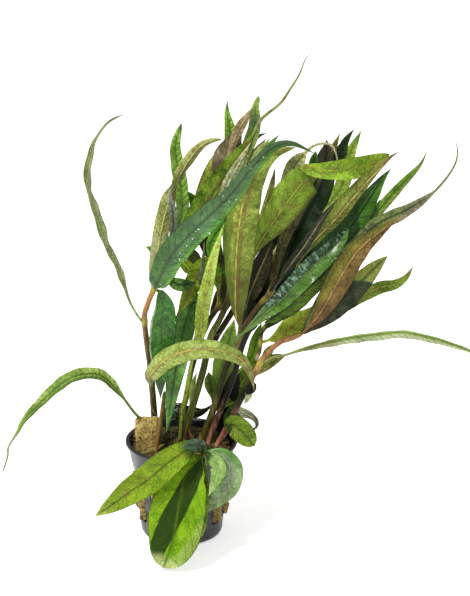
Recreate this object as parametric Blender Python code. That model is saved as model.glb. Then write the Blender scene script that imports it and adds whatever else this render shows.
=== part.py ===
"""A potted hygrophila: a slotted net pot, its block of rock wool, ten stems and their leaves.

Metres, +Z up. The origin is the middle of the pot's base, on the surface that the pot stands on.
"""

import math

import bmesh
import bpy
from mathutils import Matrix, Vector

MM = 0.001
GAP = 0.3

# The net pot, in millimetres.
POT_HEIGHT = 50.0
RIM_RADIUS = 28.0
RIM_DEPTH = 1.6
COLLAR_TOP_RADIUS = 26.8
COLLAR_FOOT_RADIUS = 24.2
COLLAR_FOOT_HEIGHT = 35.0
BODY_TOP_RADIUS = 23.2
BODY_FOOT_RADIUS = 20.4
BASE_RADIUS = 17.6
BASE_ROUNDING = 3.6
WALL = 1.3
FLOOR_THICKNESS = 1.6
POT_SIDES = 48
SLOTS = 12
SLOT_TURN = math.radians(25)
SLOT_WIDTH = 6.4
SLOT_FOOT = 9.0
SLOT_TOP = 32.0
SLOT_CUT_DEPTH = 14.0

# The rock wool that fills the pot, and the corner of it that stands up at the left.
WOOL_TOP = 46.5
WOOL_CLEARANCE = 0.5
WOOL_SIDES = 24
BLOCK_LEFT, BLOCK_RIGHT = -22.6, -10.6
BLOCK_FRONT, BLOCK_BACK = -7.0, 5.5
BLOCK_TOP = 61.0

# Stems and leaves are laid out on a drawing: the view from the front, three metres away, looking down on
# the pot by this angle. A point is (across, up, back) in millimetres from the middle of the rim: across
# and up are measured on the drawing, at the rim's distance, and back is the depth behind the pot's axis.
# The plant spreads as it rises, so a depth grows by SPREAD from the rim up to SPREAD_HEIGHT on the drawing.
SPREAD = 0.8
SPREAD_HEIGHT = 100.0
VIEW_TILT = math.radians(22.5)
VIEW_DISTANCE = 3000.0
DRAWING_MIDDLE = (26.75, 70.5)
TO_VIEWER = Vector((0, -math.cos(VIEW_TILT), math.sin(VIEW_TILT)))
UP_ON_DRAWING = Vector((0, math.sin(VIEW_TILT), math.cos(VIEW_TILT)))

STEM_SIDES = 8
STATION_SPACING = 8.0
STALK_HALF_WIDTH = 0.8
TAIL_HALF_WIDTH = 1.5
STALK_THICKNESS = 1.1
LEAF_THICKNESS = 0.6

LEAF_GREEN = (0.10, 0.24, 0.03)
DEEP_GREEN = (0.02, 0.10, 0.03)
LIME = (0.30, 0.48, 0.06)
OLIVE = (0.16, 0.20, 0.03)
TAN = (0.34, 0.28, 0.12)
BROWN = (0.22, 0.09, 0.04)
NEAR_BLACK = (0.02, 0.03, 0.02)


def on_drawing(across, up, back):
    """The place in space, in millimetres, of a point on the drawing."""
    back *= 1 + SPREAD * min(max(up / SPREAD_HEIGHT, 0.0), 1.0)
    rim_middle = Vector((0, 0, POT_HEIGHT))
    middle_across, middle_up = DRAWING_MIDDLE
    height = POT_HEIGHT + middle_up / math.cos(VIEW_TILT)
    eye = Vector((middle_across, 0, height)) + TO_VIEWER * VIEW_DISTANCE
    sight = Vector((across - middle_across, 0, 0)) + UP_ON_DRAWING * (up - middle_up)
    sight -= TO_VIEWER * (eye - rim_middle).dot(TO_VIEWER)
    return eye + sight * (back - eye.y) / sight.y


def finish_material(name, colour, roughness):
    material = bpy.data.materials.new(name)
    material.use_nodes = True
    shader = material.node_tree.nodes["Principled BSDF"]
    shader.inputs["Base Color"].default_value = (*colour, 1)
    shader.inputs["Roughness"].default_value = roughness
    shader.inputs["Metallic"].default_value = 0
    return material


def add_object(name, mesh, material):
    piece = bpy.data.objects.new(name, mesh)
    mesh.materials.append(material)
    bpy.context.scene.collection.objects.link(piece)
    return piece


def mesh_of_rings(name, rings):
    """A closed mesh through rings with equally many points, in millimetres. Both ends are capped."""
    mesh = bmesh.new()
    loops = [[mesh.verts.new(point * MM) for point in ring] for ring in rings]
    sides = len(rings[0])
    for low, high in zip(loops, loops[1:]):
        for i in range(sides):
            j = (i + 1) % sides
            mesh.faces.new((low[i], low[j], high[j], high[i]))
    mesh.faces.new(tuple(reversed(loops[0])))
    mesh.faces.new(tuple(loops[-1]))
    data = bpy.data.meshes.new(name)
    mesh.to_mesh(data)
    mesh.free()
    return data


def curve_through(points, count):
    """Evenly spaced points on one smooth curve through the given ones."""
    ends = [points[0] * 2 - points[1], *points, points[-1] * 2 - points[-2]]
    fine = []
    for a, b, c, d in zip(ends, ends[1:], ends[2:], ends[3:]):
        for step in range(12):
            t = step / 12
            fine.append(
                0.5 * (2 * b + (c - a) * t + (2 * a - 5 * b + 4 * c - d) * t**2 + (3 * b - a - 3 * c + d) * t**3)
            )
    fine.append(points[-1].copy())
    travelled = [0.0]
    for a, b in zip(fine, fine[1:]):
        travelled.append(travelled[-1] + (b - a).length)
    even = []
    at = 0
    for i in range(count):
        want = travelled[-1] * i / (count - 1)
        while at < len(fine) - 2 and travelled[at + 1] < want:
            at += 1
        share = (want - travelled[at]) / max(travelled[at + 1] - travelled[at], 1e-6)
        even.append(fine[at].lerp(fine[at + 1], min(max(share, 0.0), 1.0)))
    return even, travelled[-1]


def directions(line):
    """The unit direction of a line at each of its points."""
    found = []
    for i in range(len(line)):
        found.append((line[min(i + 1, len(line) - 1)] - line[max(i - 1, 0)]).normalized())
    return found


def beside(point, heading, axis, reach):
    """Moves a first point out of the stem it grows on, square to the stem, by reach."""
    nearest = min(range(len(axis)), key=lambda i: (axis[i] - point).length)
    along = directions(axis)[nearest]
    out = heading - along * heading.dot(along)
    if nearest == len(axis) - 1 and out.length < 0.6 * heading.length:
        out = heading
    return axis[nearest] + out.normalized() * reach


# Net pot


def level_ring(radius, height, sides):
    """Points on a level circle round Z."""
    ring = []
    for i in range(sides):
        angle = 2 * math.pi * (i + 0.5) / sides
        ring.append(Vector((radius * math.cos(angle), radius * math.sin(angle), height)))
    return ring


def pot_profile():
    outside = [
        (RIM_RADIUS - 0.5, POT_HEIGHT),
        (RIM_RADIUS, POT_HEIGHT - 0.5),
        (RIM_RADIUS, POT_HEIGHT - RIM_DEPTH),
        (COLLAR_TOP_RADIUS, POT_HEIGHT - RIM_DEPTH - 0.6),
        (COLLAR_FOOT_RADIUS, COLLAR_FOOT_HEIGHT),
        (BODY_TOP_RADIUS, COLLAR_FOOT_HEIGHT - 1.2),
        (BODY_FOOT_RADIUS, BASE_ROUNDING),
    ]
    for step in (1, 2, 3):
        turn = math.pi / 2 * step / 3
        radius = BASE_RADIUS + (BODY_FOOT_RADIUS - BASE_RADIUS) * math.cos(turn)
        outside.append((radius, BASE_ROUNDING * (1 - math.sin(turn))))
    inside = [
        (BASE_RADIUS - 0.4, FLOOR_THICKNESS),
        (BODY_FOOT_RADIUS - WALL, BASE_ROUNDING + 0.6),
        (BODY_TOP_RADIUS - WALL, COLLAR_FOOT_HEIGHT - 1.0),
        (COLLAR_FOOT_RADIUS - WALL, COLLAR_FOOT_HEIGHT + 1.4),
        (COLLAR_TOP_RADIUS - WALL, POT_HEIGHT - RIM_DEPTH - 1.0),
        (RIM_RADIUS - 1.4, POT_HEIGHT),
    ]
    return outside, inside


def pot_shell():
    """The pot without its slots: a turned wall, open at the top, with a flat floor."""
    outside, inside = pot_profile()
    rows = outside + inside
    mesh = bmesh.new()
    rings = []
    for radius, height in rows:
        rings.append([mesh.verts.new(point * MM) for point in level_ring(radius, height, POT_SIDES)])
    floor_row = len(outside) - 1
    for row in range(len(rows)):
        if row == floor_row:
            continue
        low, high = rings[row], rings[(row + 1) % len(rows)]
        for i in range(POT_SIDES):
            j = (i + 1) % POT_SIDES
            mesh.faces.new((low[j], low[i], high[i], high[j]))
    mesh.faces.new(tuple(rings[floor_row]))
    mesh.faces.new(tuple(rings[floor_row + 1]))
    bmesh.ops.recalc_face_normals(mesh, faces=mesh.faces)
    data = bpy.data.meshes.new("net_pot")
    mesh.to_mesh(data)
    mesh.free()
    data.shade_smooth()
    return data


def slot_cutter():
    """A ring of upright bars, one for each slot, as the shape that the slots are cut with."""
    mesh = bmesh.new()
    for i in range(SLOTS):
        angle = 2 * math.pi * i / SLOTS + SLOT_TURN
        place = Matrix.Rotation(angle, 4, "Z") @ Matrix.Translation(
            Vector((BODY_TOP_RADIUS, 0, (SLOT_FOOT + SLOT_TOP) / 2)) * MM
        )
        made = bmesh.ops.create_cube(mesh, size=1, matrix=place)
        size = Vector((SLOT_CUT_DEPTH, SLOT_WIDTH, SLOT_TOP - SLOT_FOOT)) * MM
        bmesh.ops.scale(mesh, vec=size, space=place.inverted(), verts=made["verts"])
    data = bpy.data.meshes.new("slot_cutter")
    mesh.to_mesh(data)
    mesh.free()
    cutter = bpy.data.objects.new("slot_cutter", data)
    bpy.context.scene.collection.objects.link(cutter)
    cutter.hide_render = True
    cutter.display_type = "WIRE"
    return cutter


def add_net_pot():
    plastic = finish_material("pot_plastic", (0.016, 0.017, 0.022), 0.42)
    pot = add_object("net_pot", pot_shell(), plastic)
    slots = pot.modifiers.new("slots", "BOOLEAN")
    slots.operation = "DIFFERENCE"
    slots.object = slot_cutter()
    return pot


# Rock wool


def wool_block_cutter():
    """The standing corner of the wool, slightly narrower at its top, as a block that is joined to the rest."""
    left, right, front, rear = BLOCK_LEFT, BLOCK_RIGHT, BLOCK_FRONT, BLOCK_BACK
    rings = []
    for height, inset in ((WOOL_TOP - 3, 0.0), (BLOCK_TOP - 3, 0.2), (BLOCK_TOP, 1.6)):
        rings.append(
            [
                Vector((left + inset, front + inset, height)),
                Vector((right - inset, front + inset, height)),
                Vector((right - inset, rear - inset, height)),
                Vector((left + inset, rear - inset, height)),
            ]
        )
    block = bpy.data.objects.new("wool_block", mesh_of_rings("wool_block", rings))
    bpy.context.scene.collection.objects.link(block)
    block.hide_render = True
    block.display_type = "WIRE"
    return block


def add_rock_wool():
    profile = [
        (BASE_RADIUS - 1.2, FLOOR_THICKNESS + GAP),
        (BODY_FOOT_RADIUS - WALL - WOOL_CLEARANCE, BASE_ROUNDING + 0.9),
        (BODY_TOP_RADIUS - WALL - WOOL_CLEARANCE, COLLAR_FOOT_HEIGHT - 1.0),
        (COLLAR_FOOT_RADIUS - WALL - WOOL_CLEARANCE, COLLAR_FOOT_HEIGHT + 1.4),
        (COLLAR_TOP_RADIUS - WALL - 0.9, WOOL_TOP - 1.4),
        (COLLAR_TOP_RADIUS - WALL - 2.4, WOOL_TOP),
    ]
    fibre = finish_material("rock_wool_fibre", (0.36, 0.26, 0.10), 0.95)
    rings = [level_ring(radius, height, WOOL_SIDES) for radius, height in profile]
    wool = add_object("rock_wool", mesh_of_rings("rock_wool", rings), fibre)
    joined = wool.modifiers.new("standing_corner", "BOOLEAN")
    joined.operation = "UNION"
    joined.object = wool_block_cutter()
    return wool


# Stems: points on the drawing from the wool upwards, the radius at the foot and at the top, and the colour.
# A stem that grows out of another one names it.

STEMS = {
    "stem_left": dict(
        points=[(-13.5, 0, 9), (-13.5, 10, 8), (-15.5, 34.5, 0), (-18.5, 58.5, -6), (-17, 67, -8), (-14, 74.5, -9),
                (-8.5, 86, -2), (-5.5, 94, 4)],
        foot=1.7, top=1.1, colour=BROWN),
    "stem_front_left": dict(
        points=[(-13, -7.5, -11), (-12.5, -3.5, -10), (-10.5, 7.5, -7), (-9, 18.5, -3), (-8.5, 24, -1)],
        foot=1.4, top=1.0, colour=TAN),
    "stem_slim": dict(
        points=[(-0.5, 0.5, 10), (0.5, 15.5, 10), (2, 19.5, 10), (5.5, 37, 10.5), (12, 56, 11), (19, 67.5, 12),
                (20.5, 77, 13), (21.5, 88, 15)],
        foot=1.6, top=1.2, colour=NEAR_BLACK),
    "stem_middle": dict(
        points=[(1.5, -1, 6), (3.5, 9.5, 5), (6.5, 19.5, 4.5), (11, 35, 4), (14.5, 51, 4.5), (19, 59.5, 5),
                (23.5, 70.5, 6), (24.5, 82, 7), (25.5, 92, 8)],
        foot=1.9, top=1.3, colour=OLIVE),
    "stem_middle_branch": dict(
        points=[(13.5, 45, 4), (17.5, 51, 7), (25, 63, 10), (29.5, 72, 12), (32.5, 83, 12)],
        foot=1.5, top=1.2, colour=NEAR_BLACK, grows_on="stem_middle"),
    "stem_tall": dict(
        points=[(10, -1, 6), (13.3, 7.5, 5.5), (16.6, 17, 5), (22, 35, 4), (28.5, 49, 3), (31.5, 56, 3),
                (38, 65.5, 4), (45, 74.5, 5), (45.6, 86, 7), (45.4, 98, 10)],
        foot=1.75, top=1.2, colour=OLIVE),
    "stem_red_inner": dict(
        points=[(13.5, -2, 3), (16.5, 7.5, 3), (21.5, 19, 2), (26.5, 32.5, 1), (31.5, 49.5, -1), (40, 64.5, -1),
                (49, 71.5, 0), (57, 82, 1.5)],
        foot=1.4, top=1.4, colour=BROWN),
    "stem_red_outer": dict(
        points=[(18, -3.5, -0.5), (22, 4.5, -1.5), (26.5, 13.5, -3), (30.2, 20.5, -4), (34, 28, -5),
                (39.5, 38.5, -7), (43.5, 43.5, -8), (49.5, 48.5, -9), (56, 51, -10), (60.5, 52.5, -10)],
        foot=1.5, top=1.2, colour=BROWN),
    "stem_side_shoot": dict(
        points=[(39.5, 38.5, -7), (39, 43.5, -7.5), (39.8, 51, -7), (41.5, 57.5, -7)],
        foot=0.9, top=0.8, colour=BROWN, grows_on="stem_red_outer"),
    "stem_low_front": dict(
        points=[(12.5, -4.5, -4), (12, -5, -12), (10.5, -6, -24)],
        foot=1.2, top=1.1, colour=OLIVE),
}


def stem_axis(name):
    """The stem's centre line in millimetres, after a side stem's foot has been moved out of its parent."""
    stem = STEMS[name]
    points = [on_drawing(*point) for point in stem["points"]]
    if "grows_on" in stem:
        parent = STEMS[stem["grows_on"]]
        reach = parent["foot"] + stem["foot"] + GAP
        points[0] = beside(points[0], points[1] - points[0], stem_axis(stem["grows_on"]), reach)
    else:
        points[0].z = WOOL_TOP + GAP
    rough = sum((b - a).length for a, b in zip(points, points[1:]))
    return curve_through(points, max(5, round(rough / STATION_SPACING)))[0]


def add_stem(name):
    stem = STEMS[name]
    axis = stem_axis(name)
    rings = []
    for i, (centre, along) in enumerate(zip(axis, directions(axis))):
        share = i / (len(axis) - 1)
        radius = stem["foot"] + (stem["top"] - stem["foot"]) * share
        if i == 0 and "grows_on" not in stem:
            along = Vector((0, 0, 1))
        side = Vector((1, 0, 0))
        side = (side - along * side.dot(along)).normalized()
        other = along.cross(side)
        ring = []
        for k in range(STEM_SIDES):
            angle = 2 * math.pi * k / STEM_SIDES
            ring.append(centre + side * radius * math.cos(angle) + other * radius * math.sin(angle))
        rings.append(ring)
    mesh = mesh_of_rings(name, rings)
    mesh.shade_smooth()
    return add_object(name, mesh, finish_material(name, stem["colour"], 0.5))


# Leaves: the stem each one grows on (or the wool), points of its midrib on the drawing from foot to tip,
# its full width, the length of its bare stalk, and where along the blade it is widest. A blade that ends
# in a long narrow tail names the tail's length.
# turn is how far the blade is turned about its midrib away from facing the viewer, in degrees, from foot
# to tip: above zero its right edge goes back. fold lifts both edges towards the viewer.

LEAVES = {
    "leaf_far_left": dict(
        on="stem_left", width=9, stalk=8, widest=0.45, turn=[60, 70, 60, 72, 62, 75, 55, 75, 60],
        points=[(-18.5, 58.5, -6), (-21.5, 61, -7), (-26, 69, -9), (-32.5, 85.5, -11), (-37.5, 95, -12),
                (-42.5, 109.5, -13), (-47, 124, -13), (-48, 133.5, -12), (-45.5, 145, -10), (-43, 150.5, -9),
                (-36.5, 158.5, -7), (-28.5, 162.5, -5)], colour=LEAF_GREEN),
    "leaf_low_left": dict(
        on="rock_wool", width=6.5, tail=14, stalk=14, widest=0.4, turn=[20, 30],
        points=[(-21, 10.5, 0), (-25, 15, -2), (-30.5, 22.5, -5), (-37.5, 30, -8), (-43.5, 32.5, -10),
                (-53, 31.5, -13), (-62, 26, -16), (-72, 16.5, -19), (-79, 9, -21), (-82, 3.5, -22),
                (-86.5, -4, -23), (-87, -9, -24), (-90, -18.5, -25)], colour=LEAF_GREEN),
    "leaf_far_right": dict(
        on="stem_red_outer", width=8, stalk=14, widest=0.45, turn=[50, 60, 60],
        points=[(39.5, 38.5, -7), (46, 41, -9), (52, 42, -11), (67.5, 47, -14), (83.5, 50.5, -17),
                (98, 52.5, -19), (109, 53.5, -20), (117.5, 52.5, -21), (131, 49, -22), (144.5, 44, -23),
                (159, 35.5, -24)], colour=LEAF_GREEN),
    "leaf_front_arch": dict(
        on="stem_left", width=10.5, stalk=2, widest=0.42, turn=[-20, -10, 0, 10],
        points=[(-15, 27.5, 2), (-16, 30, -7), (-13.5, 34.5, -14), (-6, 41, -18), (5, 44.5, -21),
                (14.5, 45, -22), (23.5, 43, -22), (30.5, 39, -21), (34.5, 32.5, -19), (36.5, 24, -17)],
        colour=LIME),
    "leaf_big_dark": dict(
        on="stem_left", width=13.8, tip=1.15, stalk=2, widest=0.25, turn=[0, 0, 0, 25, 35, 25, 10],
        points=[(-14, 74.5, -9), (-11.5, 79, -12), (-9, 84, -13.5), (-4.8, 92, -15), (4.5, 102.5, -16.5),
                (16, 113.5, -18), (26.5, 124.5, -19), (35, 135.5, -19), (42, 143, -18), (47, 146.3, -16.5),
                (51.5, 147.7, -15), (56, 147.5, -13.5), (60.5, 145.8, -12), (68, 142, -10)],
        colour=DEEP_GREEN),
    "leaf_centre": dict(
        on="stem_tall", width=16, tip=0.85, stalk=8, widest=0.53, turn=[0, 0, 10, 40],
        points=[(29.5, 51, 3), (29.2, 56, -1.5), (28.4, 64, -4), (28.3, 74, -6), (28.8, 91, -8),
                (30.2, 107, -9), (32.8, 121, -10), (36, 130.5, -10.5), (41, 138.3, -11),
                (48, 143.2, -11.5), (57, 145.8, -11)], colour=LIME),
    "leaf_wide": dict(
        on="stem_tall", width=18, stalk=40, widest=0.6, turn=[0, 0, 0],
        points=[(28.5, 49, 3), (29.5, 59.5, 6), (31, 72, 5), (34, 84.5, 3), (37.2, 94.5, 0.5),
                (41.7, 102.3, -1.5), (47, 110, -3), (54, 120, -4), (59, 126.5, -3), (63, 130, 0),
                (66, 131, 5.5), (68, 130.5, 11)], colour=LEAF_GREEN),
    "leaf_bright_flat": dict(
        on="stem_tall", width=10.5, tip=0.75, stalk=68, widest=0.65, turn=[0, 0, 0, 0],
        points=[(45, 74.5, 5), (48.5, 86, 3.5), (51, 103, 3.5), (53.5, 118, 4), (56, 130.5, 4),
                (58.7, 135.2, 1.5), (61.8, 135.2, -4.5), (69, 134.2, -8), (78, 134.4, -9.5), (86, 135.3, -9),
                (93, 137, -6.5), (99, 139.8, -4), (104, 142.5, -2)], colour=LIME),
    "leaf_tan": dict(
        on="stem_red_inner", width=8.5, stalk=8, widest=0.45, turn=[0, 0, 0],
        points=[(57, 82, 1.5), (60, 92.5, -4), (66.8, 101.3, -7), (77.8, 112.6, -9), (84.3, 120.6, -10),
                (95.6, 133.2, -10.5), (104.5, 141, -9), (109.5, 144, -8)], colour=TAN),
    "leaf_right_dark": dict(
        on="stem_red_inner", width=14, stalk=2, widest=0.4, turn=[0, 0, 0],
        points=[(57, 82, 1.5), (66, 87, 0.5), (77, 97, -1.5), (85.5, 107, -2.5), (93.5, 119.5, -2.5),
                (100, 129.5, -2), (105, 135.5, -1)], colour=DEEP_GREEN),
    "leaf_right_low_dark": dict(
        on="stem_red_inner", width=11, stalk=6, widest=0.5, turn=[0, 0, 0],
        points=[(53, 77, 1), (60, 79, 2.5), (70, 85, 4.5), (80.5, 93, 5.5), (87.5, 101, 6), (94, 109, 6),
                (99.5, 120, 6)], colour=DEEP_GREEN),
    "leaf_right_curled": dict(
        on="stem_red_inner", width=5.5, stalk=30, widest=0.5, turn=[0, 20, 0],
        points=[(50, 73, 0.2), (56, 72.5, 6.5), (70, 80, 10), (84, 92, 12), (94.5, 109, 12),
                (107.5, 124.5, 11), (118, 135.5, 9.5), (121, 140, 9), (123, 144.5, 9)], colour=LEAF_GREEN),
    "leaf_right_long": dict(
        on="stem_red_outer", width=8.2, tail=27, stalk=10, widest=0.6, turn=[0, 20, 20, 20, 20],
        points=[(60.5, 52.5, -10), (64, 62, -9), (69, 72, -7), (75, 82, -5), (81, 91.5, -4),
                (88, 98, -5), (97, 107, -6), (112.8, 114.8, -8), (124.3, 122, -9), (130, 127.5, -10),
                (134.3, 133, -10), (137.2, 138.5, -9.5), (138, 144, -9), (137, 149.5, -8.5)],
        colour=LEAF_GREEN),
    "leaf_brown": dict(
        on="stem_red_outer", width=12.3, stalk=5, widest=0.48, turn=[0, 0, 0],
        points=[(60.5, 52.5, -10), (64.5, 57.2, -14), (70, 64, -17), (76, 74.5, -19), (82.5, 86, -20),
                (88, 93.8, -20), (93.5, 99.3, -19), (101, 105, -17), (108.5, 110.5, -15)],
        colour=BROWN),
    "leaf_shaded": dict(
        on="stem_red_outer", width=11, tip=0.9, stalk=1, widest=0.55, turn=[0, 0, 0],
        points=[(60.5, 52.5, -10), (66.5, 55.8, -11), (75.2, 63, -11), (84, 72.5, -11), (92, 81, -10.5),
                (98, 87, -10), (103, 91.5, -9.5)], colour=NEAR_BLACK),
    "leaf_right_low": dict(
        on="stem_red_outer", width=6.5, stalk=8, widest=0.55, turn=[0, 0, 0],
        points=[(60.5, 52.5, -10), (68, 57.3, -6), (78, 63, -3), (88.5, 70.5, -1), (99, 75.6, 0),
                (106.5, 77.2, 1), (112, 80.6, 1), (116, 86.5, 1)], colour=LEAF_GREEN),
    "leaf_olive_right": dict(
        on="stem_side_shoot", width=11.5, stalk=3, widest=0.5, turn=[0, 0],
        points=[(40.5, 48.5, -7), (44, 49.5, -6), (49.5, 51.5, -5), (56.5, 56.5, -4), (63, 62, -3.5),
                (67, 67, -3)], colour=LIME),
    "leaf_folded_green": dict(
        on="stem_tall", width=11, tip=0.75, stalk=12, widest=0.66, turn=[0, 0, 0],
        points=[(27.5, 47, 3.2), (26.5, 49.5, -3), (31.5, 53.5, -7.5), (37.7, 59, -10), (43, 63.8, -12.5),
                (50.3, 69.8, -14), (60.4, 80.6, -14.5), (66.7, 86.8, -14), (72.5, 92, -13.5), (79.2, 99, -11.5),
                (83.5, 105, -9)], colour=LEAF_GREEN),
    "leaf_under_dark": dict(
        on="stem_side_shoot", width=11, stalk=1, widest=0.4, turn=[0, 0],
        points=[(41.5, 57.5, -7), (49, 63, -7.5), (54.5, 67.5, -8), (64, 76, -8), (73, 84, -8),
                (81, 91, -7)], colour=NEAR_BLACK),
    "leaf_right_oval": dict(
        on="stem_red_outer", width=11.5, tip=0.55, stalk=2, widest=0.5, turn=[0, 0],
        points=[(22, 4.5, -1.5), (25.3, 7.2, -5.5), (29, 4.8, -8.5), (32.8, 0.9, -10.5), (36.4, -3.6, -11.5)],
        colour=LEAF_GREEN),
    "leaf_curled_loop": dict(
        on="stem_red_outer", width=4.8, tip=0.9, stalk=1, widest=0.25, turn=[0, 10, 40, 60, 60],
        points=[(28.3, 16, -3.5), (31.3, 13, 0), (34.8, 11.5, 2), (37.3, 9.3, 3), (37.7, 6.4, 2), (35.6, 4.8, 0.5),
                (33.3, 5.8, -1)], colour=OLIVE),
    "leaf_front_left": dict(
        on="stem_low_front", width=15, tip=0.85, stalk=3, widest=0.47, turn=[0, 0],
        points=[(10.5, -6, -24), (7.5, -4, -28), (3.5, -4.8, -33), (-2, -8.4, -36), (-7, -12, -38),
                (-17, -20.5, -40), (-24.5, -25.5, -41), (-33.5, -32, -42), (-43, -38.5, -43)],
        colour=LIME),
    "leaf_front": dict(
        on="stem_low_front", width=28, tip=0.48, stalk=3, widest=0.55, turn=[0, 0],
        points=[(10.5, -6, -24), (9.2, -8.8, -27.5), (5.2, -13.2, -30.5), (1.6, -20, -34),
                (-0.7, -30, -38), (-2.5, -40, -42), (-4.4, -51, -46), (-9, -64.5, -50.5)],
        colour=LIME),
    "leaf_front_pale": dict(
        on="stem_low_front", width=15, tip=0.8, stalk=8, widest=0.65, turn=[0, 0],
        points=[(11.2, -5.6, -20), (12.3, -7.2, -24), (12.5, -11.5, -27.5), (10.8, -20, -30.8), (8, -31, -34.7),
                (4.5, -44, -38.5), (-0.5, -59, -42.5)], colour=LIME),
    "leaf_front_right": dict(
        on="stem_low_front", width=13.5, stalk=5, widest=0.5, turn=[0, 0],
        points=[(10.5, -6, -24), (14, -5.8, -29), (20.5, -8.5, -32), (24.2, -14, -33.5),
                (23.2, -21.5, -34.3), (18.8, -28.5, -34), (13, -36.5, -33.3)], colour=LEAF_GREEN),
    "leaf_left_hanging": dict(
        on="stem_left", width=13, stalk=2, widest=0.4, turn=[0, 0],
        points=[(-14, 74.5, -9), (-10.5, 73, -7), (-8.5, 66, -7.5), (-9, 57, -8), (-10, 45, -8.5),
                (-10.5, 33, -8.5), (-10.5, 20, -8.5)], colour=DEEP_GREEN),
    "leaf_middle_hanging": dict(
        on="stem_slim", width=11, stalk=6, widest=0.4, turn=[0, 0],
        points=[(12, 57, 11), (10.5, 65, 9), (8, 68.5, 5), (5, 66.5, 2), (1.5, 57, 0),
                (-1.5, 42, -4), (-4.5, 24.5, -8), (-7.5, 2.5, -12)], colour=DEEP_GREEN),
    "leaf_olive_hanging": dict(
        on="stem_slim", width=10, stalk=6, widest=0.5, turn=[0, 0],
        points=[(19, 68, 12), (17.5, 80, 8), (14, 86, 3), (10.5, 85, 0), (6.5, 79, -1.5),
                (3, 71.5, -2), (-2.3, 61, -2.5)], colour=OLIVE),
    "leaf_pale_upright": dict(
        on="rock_wool", width=7, stalk=50, widest=0.4, turn=[0, 0],
        points=[(-1, -1.5, 4), (0.5, 15.5, 2), (3, 27, 0), (5, 37.5, -1), (7.5, 47, -2), (9.5, 54.5, -3),
                (10.5, 64.5, -4.5), (12.5, 74.5, -6.5), (15.5, 88.5, -8.5), (19.5, 102, -9.5),
                (21.5, 108.5, -10)], colour=LIME),
    "leaf_strip": dict(
        on="stem_middle", width=6, stalk=8, widest=0.6, turn=[0, 0],
        points=[(24.5, 82, 7), (19, 85, 2.5), (14.5, 91, 0), (14.5, 97.5, -2), (17.5, 103, -4.5),
                (22.5, 110, -6.5), (28.5, 119.5, -7.5), (33.5, 126.5, -8)],
        colour=LEAF_GREEN),
    "leaf_left_upper": dict(
        on="stem_left", width=8, tip=0.7, stalk=5, widest=0.4, turn=[0, 0, 0, 0, 15, 66, 25, 0, 0],
        points=[(-14, 74.5, -9), (-14.5, 78, -5), (-13, 88.5, 0), (-11, 99.5, 3), (-9, 109.5, 4),
                (-6.2, 119.5, 5), (-1.8, 130, 6), (3.3, 139, 7), (8.5, 145.5, 8), (13.5, 148.8, 8.5),
                (20.5, 150, 9)],
        colour=TAN),
    "leaf_left_tall": dict(
        on="stem_left", width=7, tip=0.7, stalk=5, widest=0.5, turn=[0, 0],
        points=[(-5.5, 94, 4), (-3.5, 101, 9), (0.3, 112, 13), (0, 124.5, 15), (-2, 137, 16),
                (-3, 147, 16), (0, 158, 15)], colour=LEAF_GREEN),
    "leaf_upper_back": dict(
        on="stem_slim", width=8, stalk=10, widest=0.55, turn=[0, 0],
        points=[(21.5, 88, 15), (21.5, 107, 20), (23, 124.5, 21), (25, 142, 19), (24.2, 155, 17),
                (22.8, 163, 16.5), (23, 169.5, 16)], colour=LEAF_GREEN),
    "leaf_grey_twist": dict(
        on="stem_left", width=13.5, tip=4.0, stalk=10, widest=0.6, turn=[0, 0],
        points=[(-5.5, 94, 4), (-1, 101, 6.2), (5, 107, 6.8), (14, 116, 7.5), (19.5, 128, 8), (22.5, 140, 8),
                (25.5, 147.5, 8), (29, 155, 8), (32, 161, 8), (35.5, 165.5, 8)], colour=TAN),
    "leaf_curled_tip": dict(
        on="stem_slim", width=6.5, tip=0.55, stalk=15, widest=0.65, turn=[0, 0],
        points=[(21.5, 88, 15), (21.5, 111, 13), (26, 129.5, 13), (32.5, 144.5, 12), (36, 154, 8),
                (36.8, 161, 4.5), (37, 166, 3), (38.7, 171.5, 2.5)], colour=LEAF_GREEN),
    "leaf_long_tail": dict(
        on="stem_left", width=12, tail=48, stalk=6, widest=0.45, turn=[0, 0],
        points=[(-6.5, 91.5, 2.5), (-2, 97.5, 1.2), (5.5, 109.5, 2), (11, 117, 2), (20, 129.5, 0),
                (28, 140.5, -2), (35, 150.5, -4), (38.5, 157.5, -5), (41.5, 161.5, -5), (49.5, 168, -4.5),
                (55, 176, -4), (59, 182.5, -3), (62, 190, -2), (65, 192.5, -1)], colour=LEAF_GREEN),
    "leaf_purple_edge": dict(
        on="stem_left", width=11, tip=0.8, stalk=12, widest=0.5, turn=[0, 0],
        points=[(-8.5, 86, -2), (-1, 92, 4), (6, 105, 9), (11, 117, 12), (14.2, 129, 13),
                (17.5, 139, 13.5), (21.5, 146.5, 13.5)], colour=OLIVE),
    "leaf_dark_back": dict(
        on="stem_tall", width=13.5, tip=0.75, stalk=5, widest=0.55, turn=[0, 0],
        points=[(41, 69, 4.5), (44, 77, 9), (50, 89, 12.5), (57, 102, 13.5), (65, 117, 12.5),
                (70.8, 129.5, 11), (72.2, 140, 10), (72.6, 149.5, 9)], colour=NEAR_BLACK),
    "leaf_glossy_arch": dict(
        on="stem_tall", width=8.5, tip=0.8, tail=27, stalk=12, widest=0.8, turn=[0, 0],
        points=[(51.5, 90.5, 8.5), (50, 101, 10), (49.5, 112, 10.5), (50, 121, 9.5), (52.8, 129, 8),
                (56.5, 136.2, 6.5), (61, 142, 5), (65.5, 146.3, 4), (70.8, 147.8, 3), (74.8, 147, 2),
                (77.2, 143, 1), (78.3, 136, 0)], colour=OLIVE),
    "leaf_narrow_point": dict(
        on="stem_middle_branch", width=4.5, stalk=10, widest=0.5, turn=[0, 0],
        points=[(32.5, 83, 12), (36.5, 97, 12), (40.5, 109.5, 12), (43.5, 119.5, 12), (45.5, 128.5, 12),
                (47, 136.5, 12)], colour=OLIVE),
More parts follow.
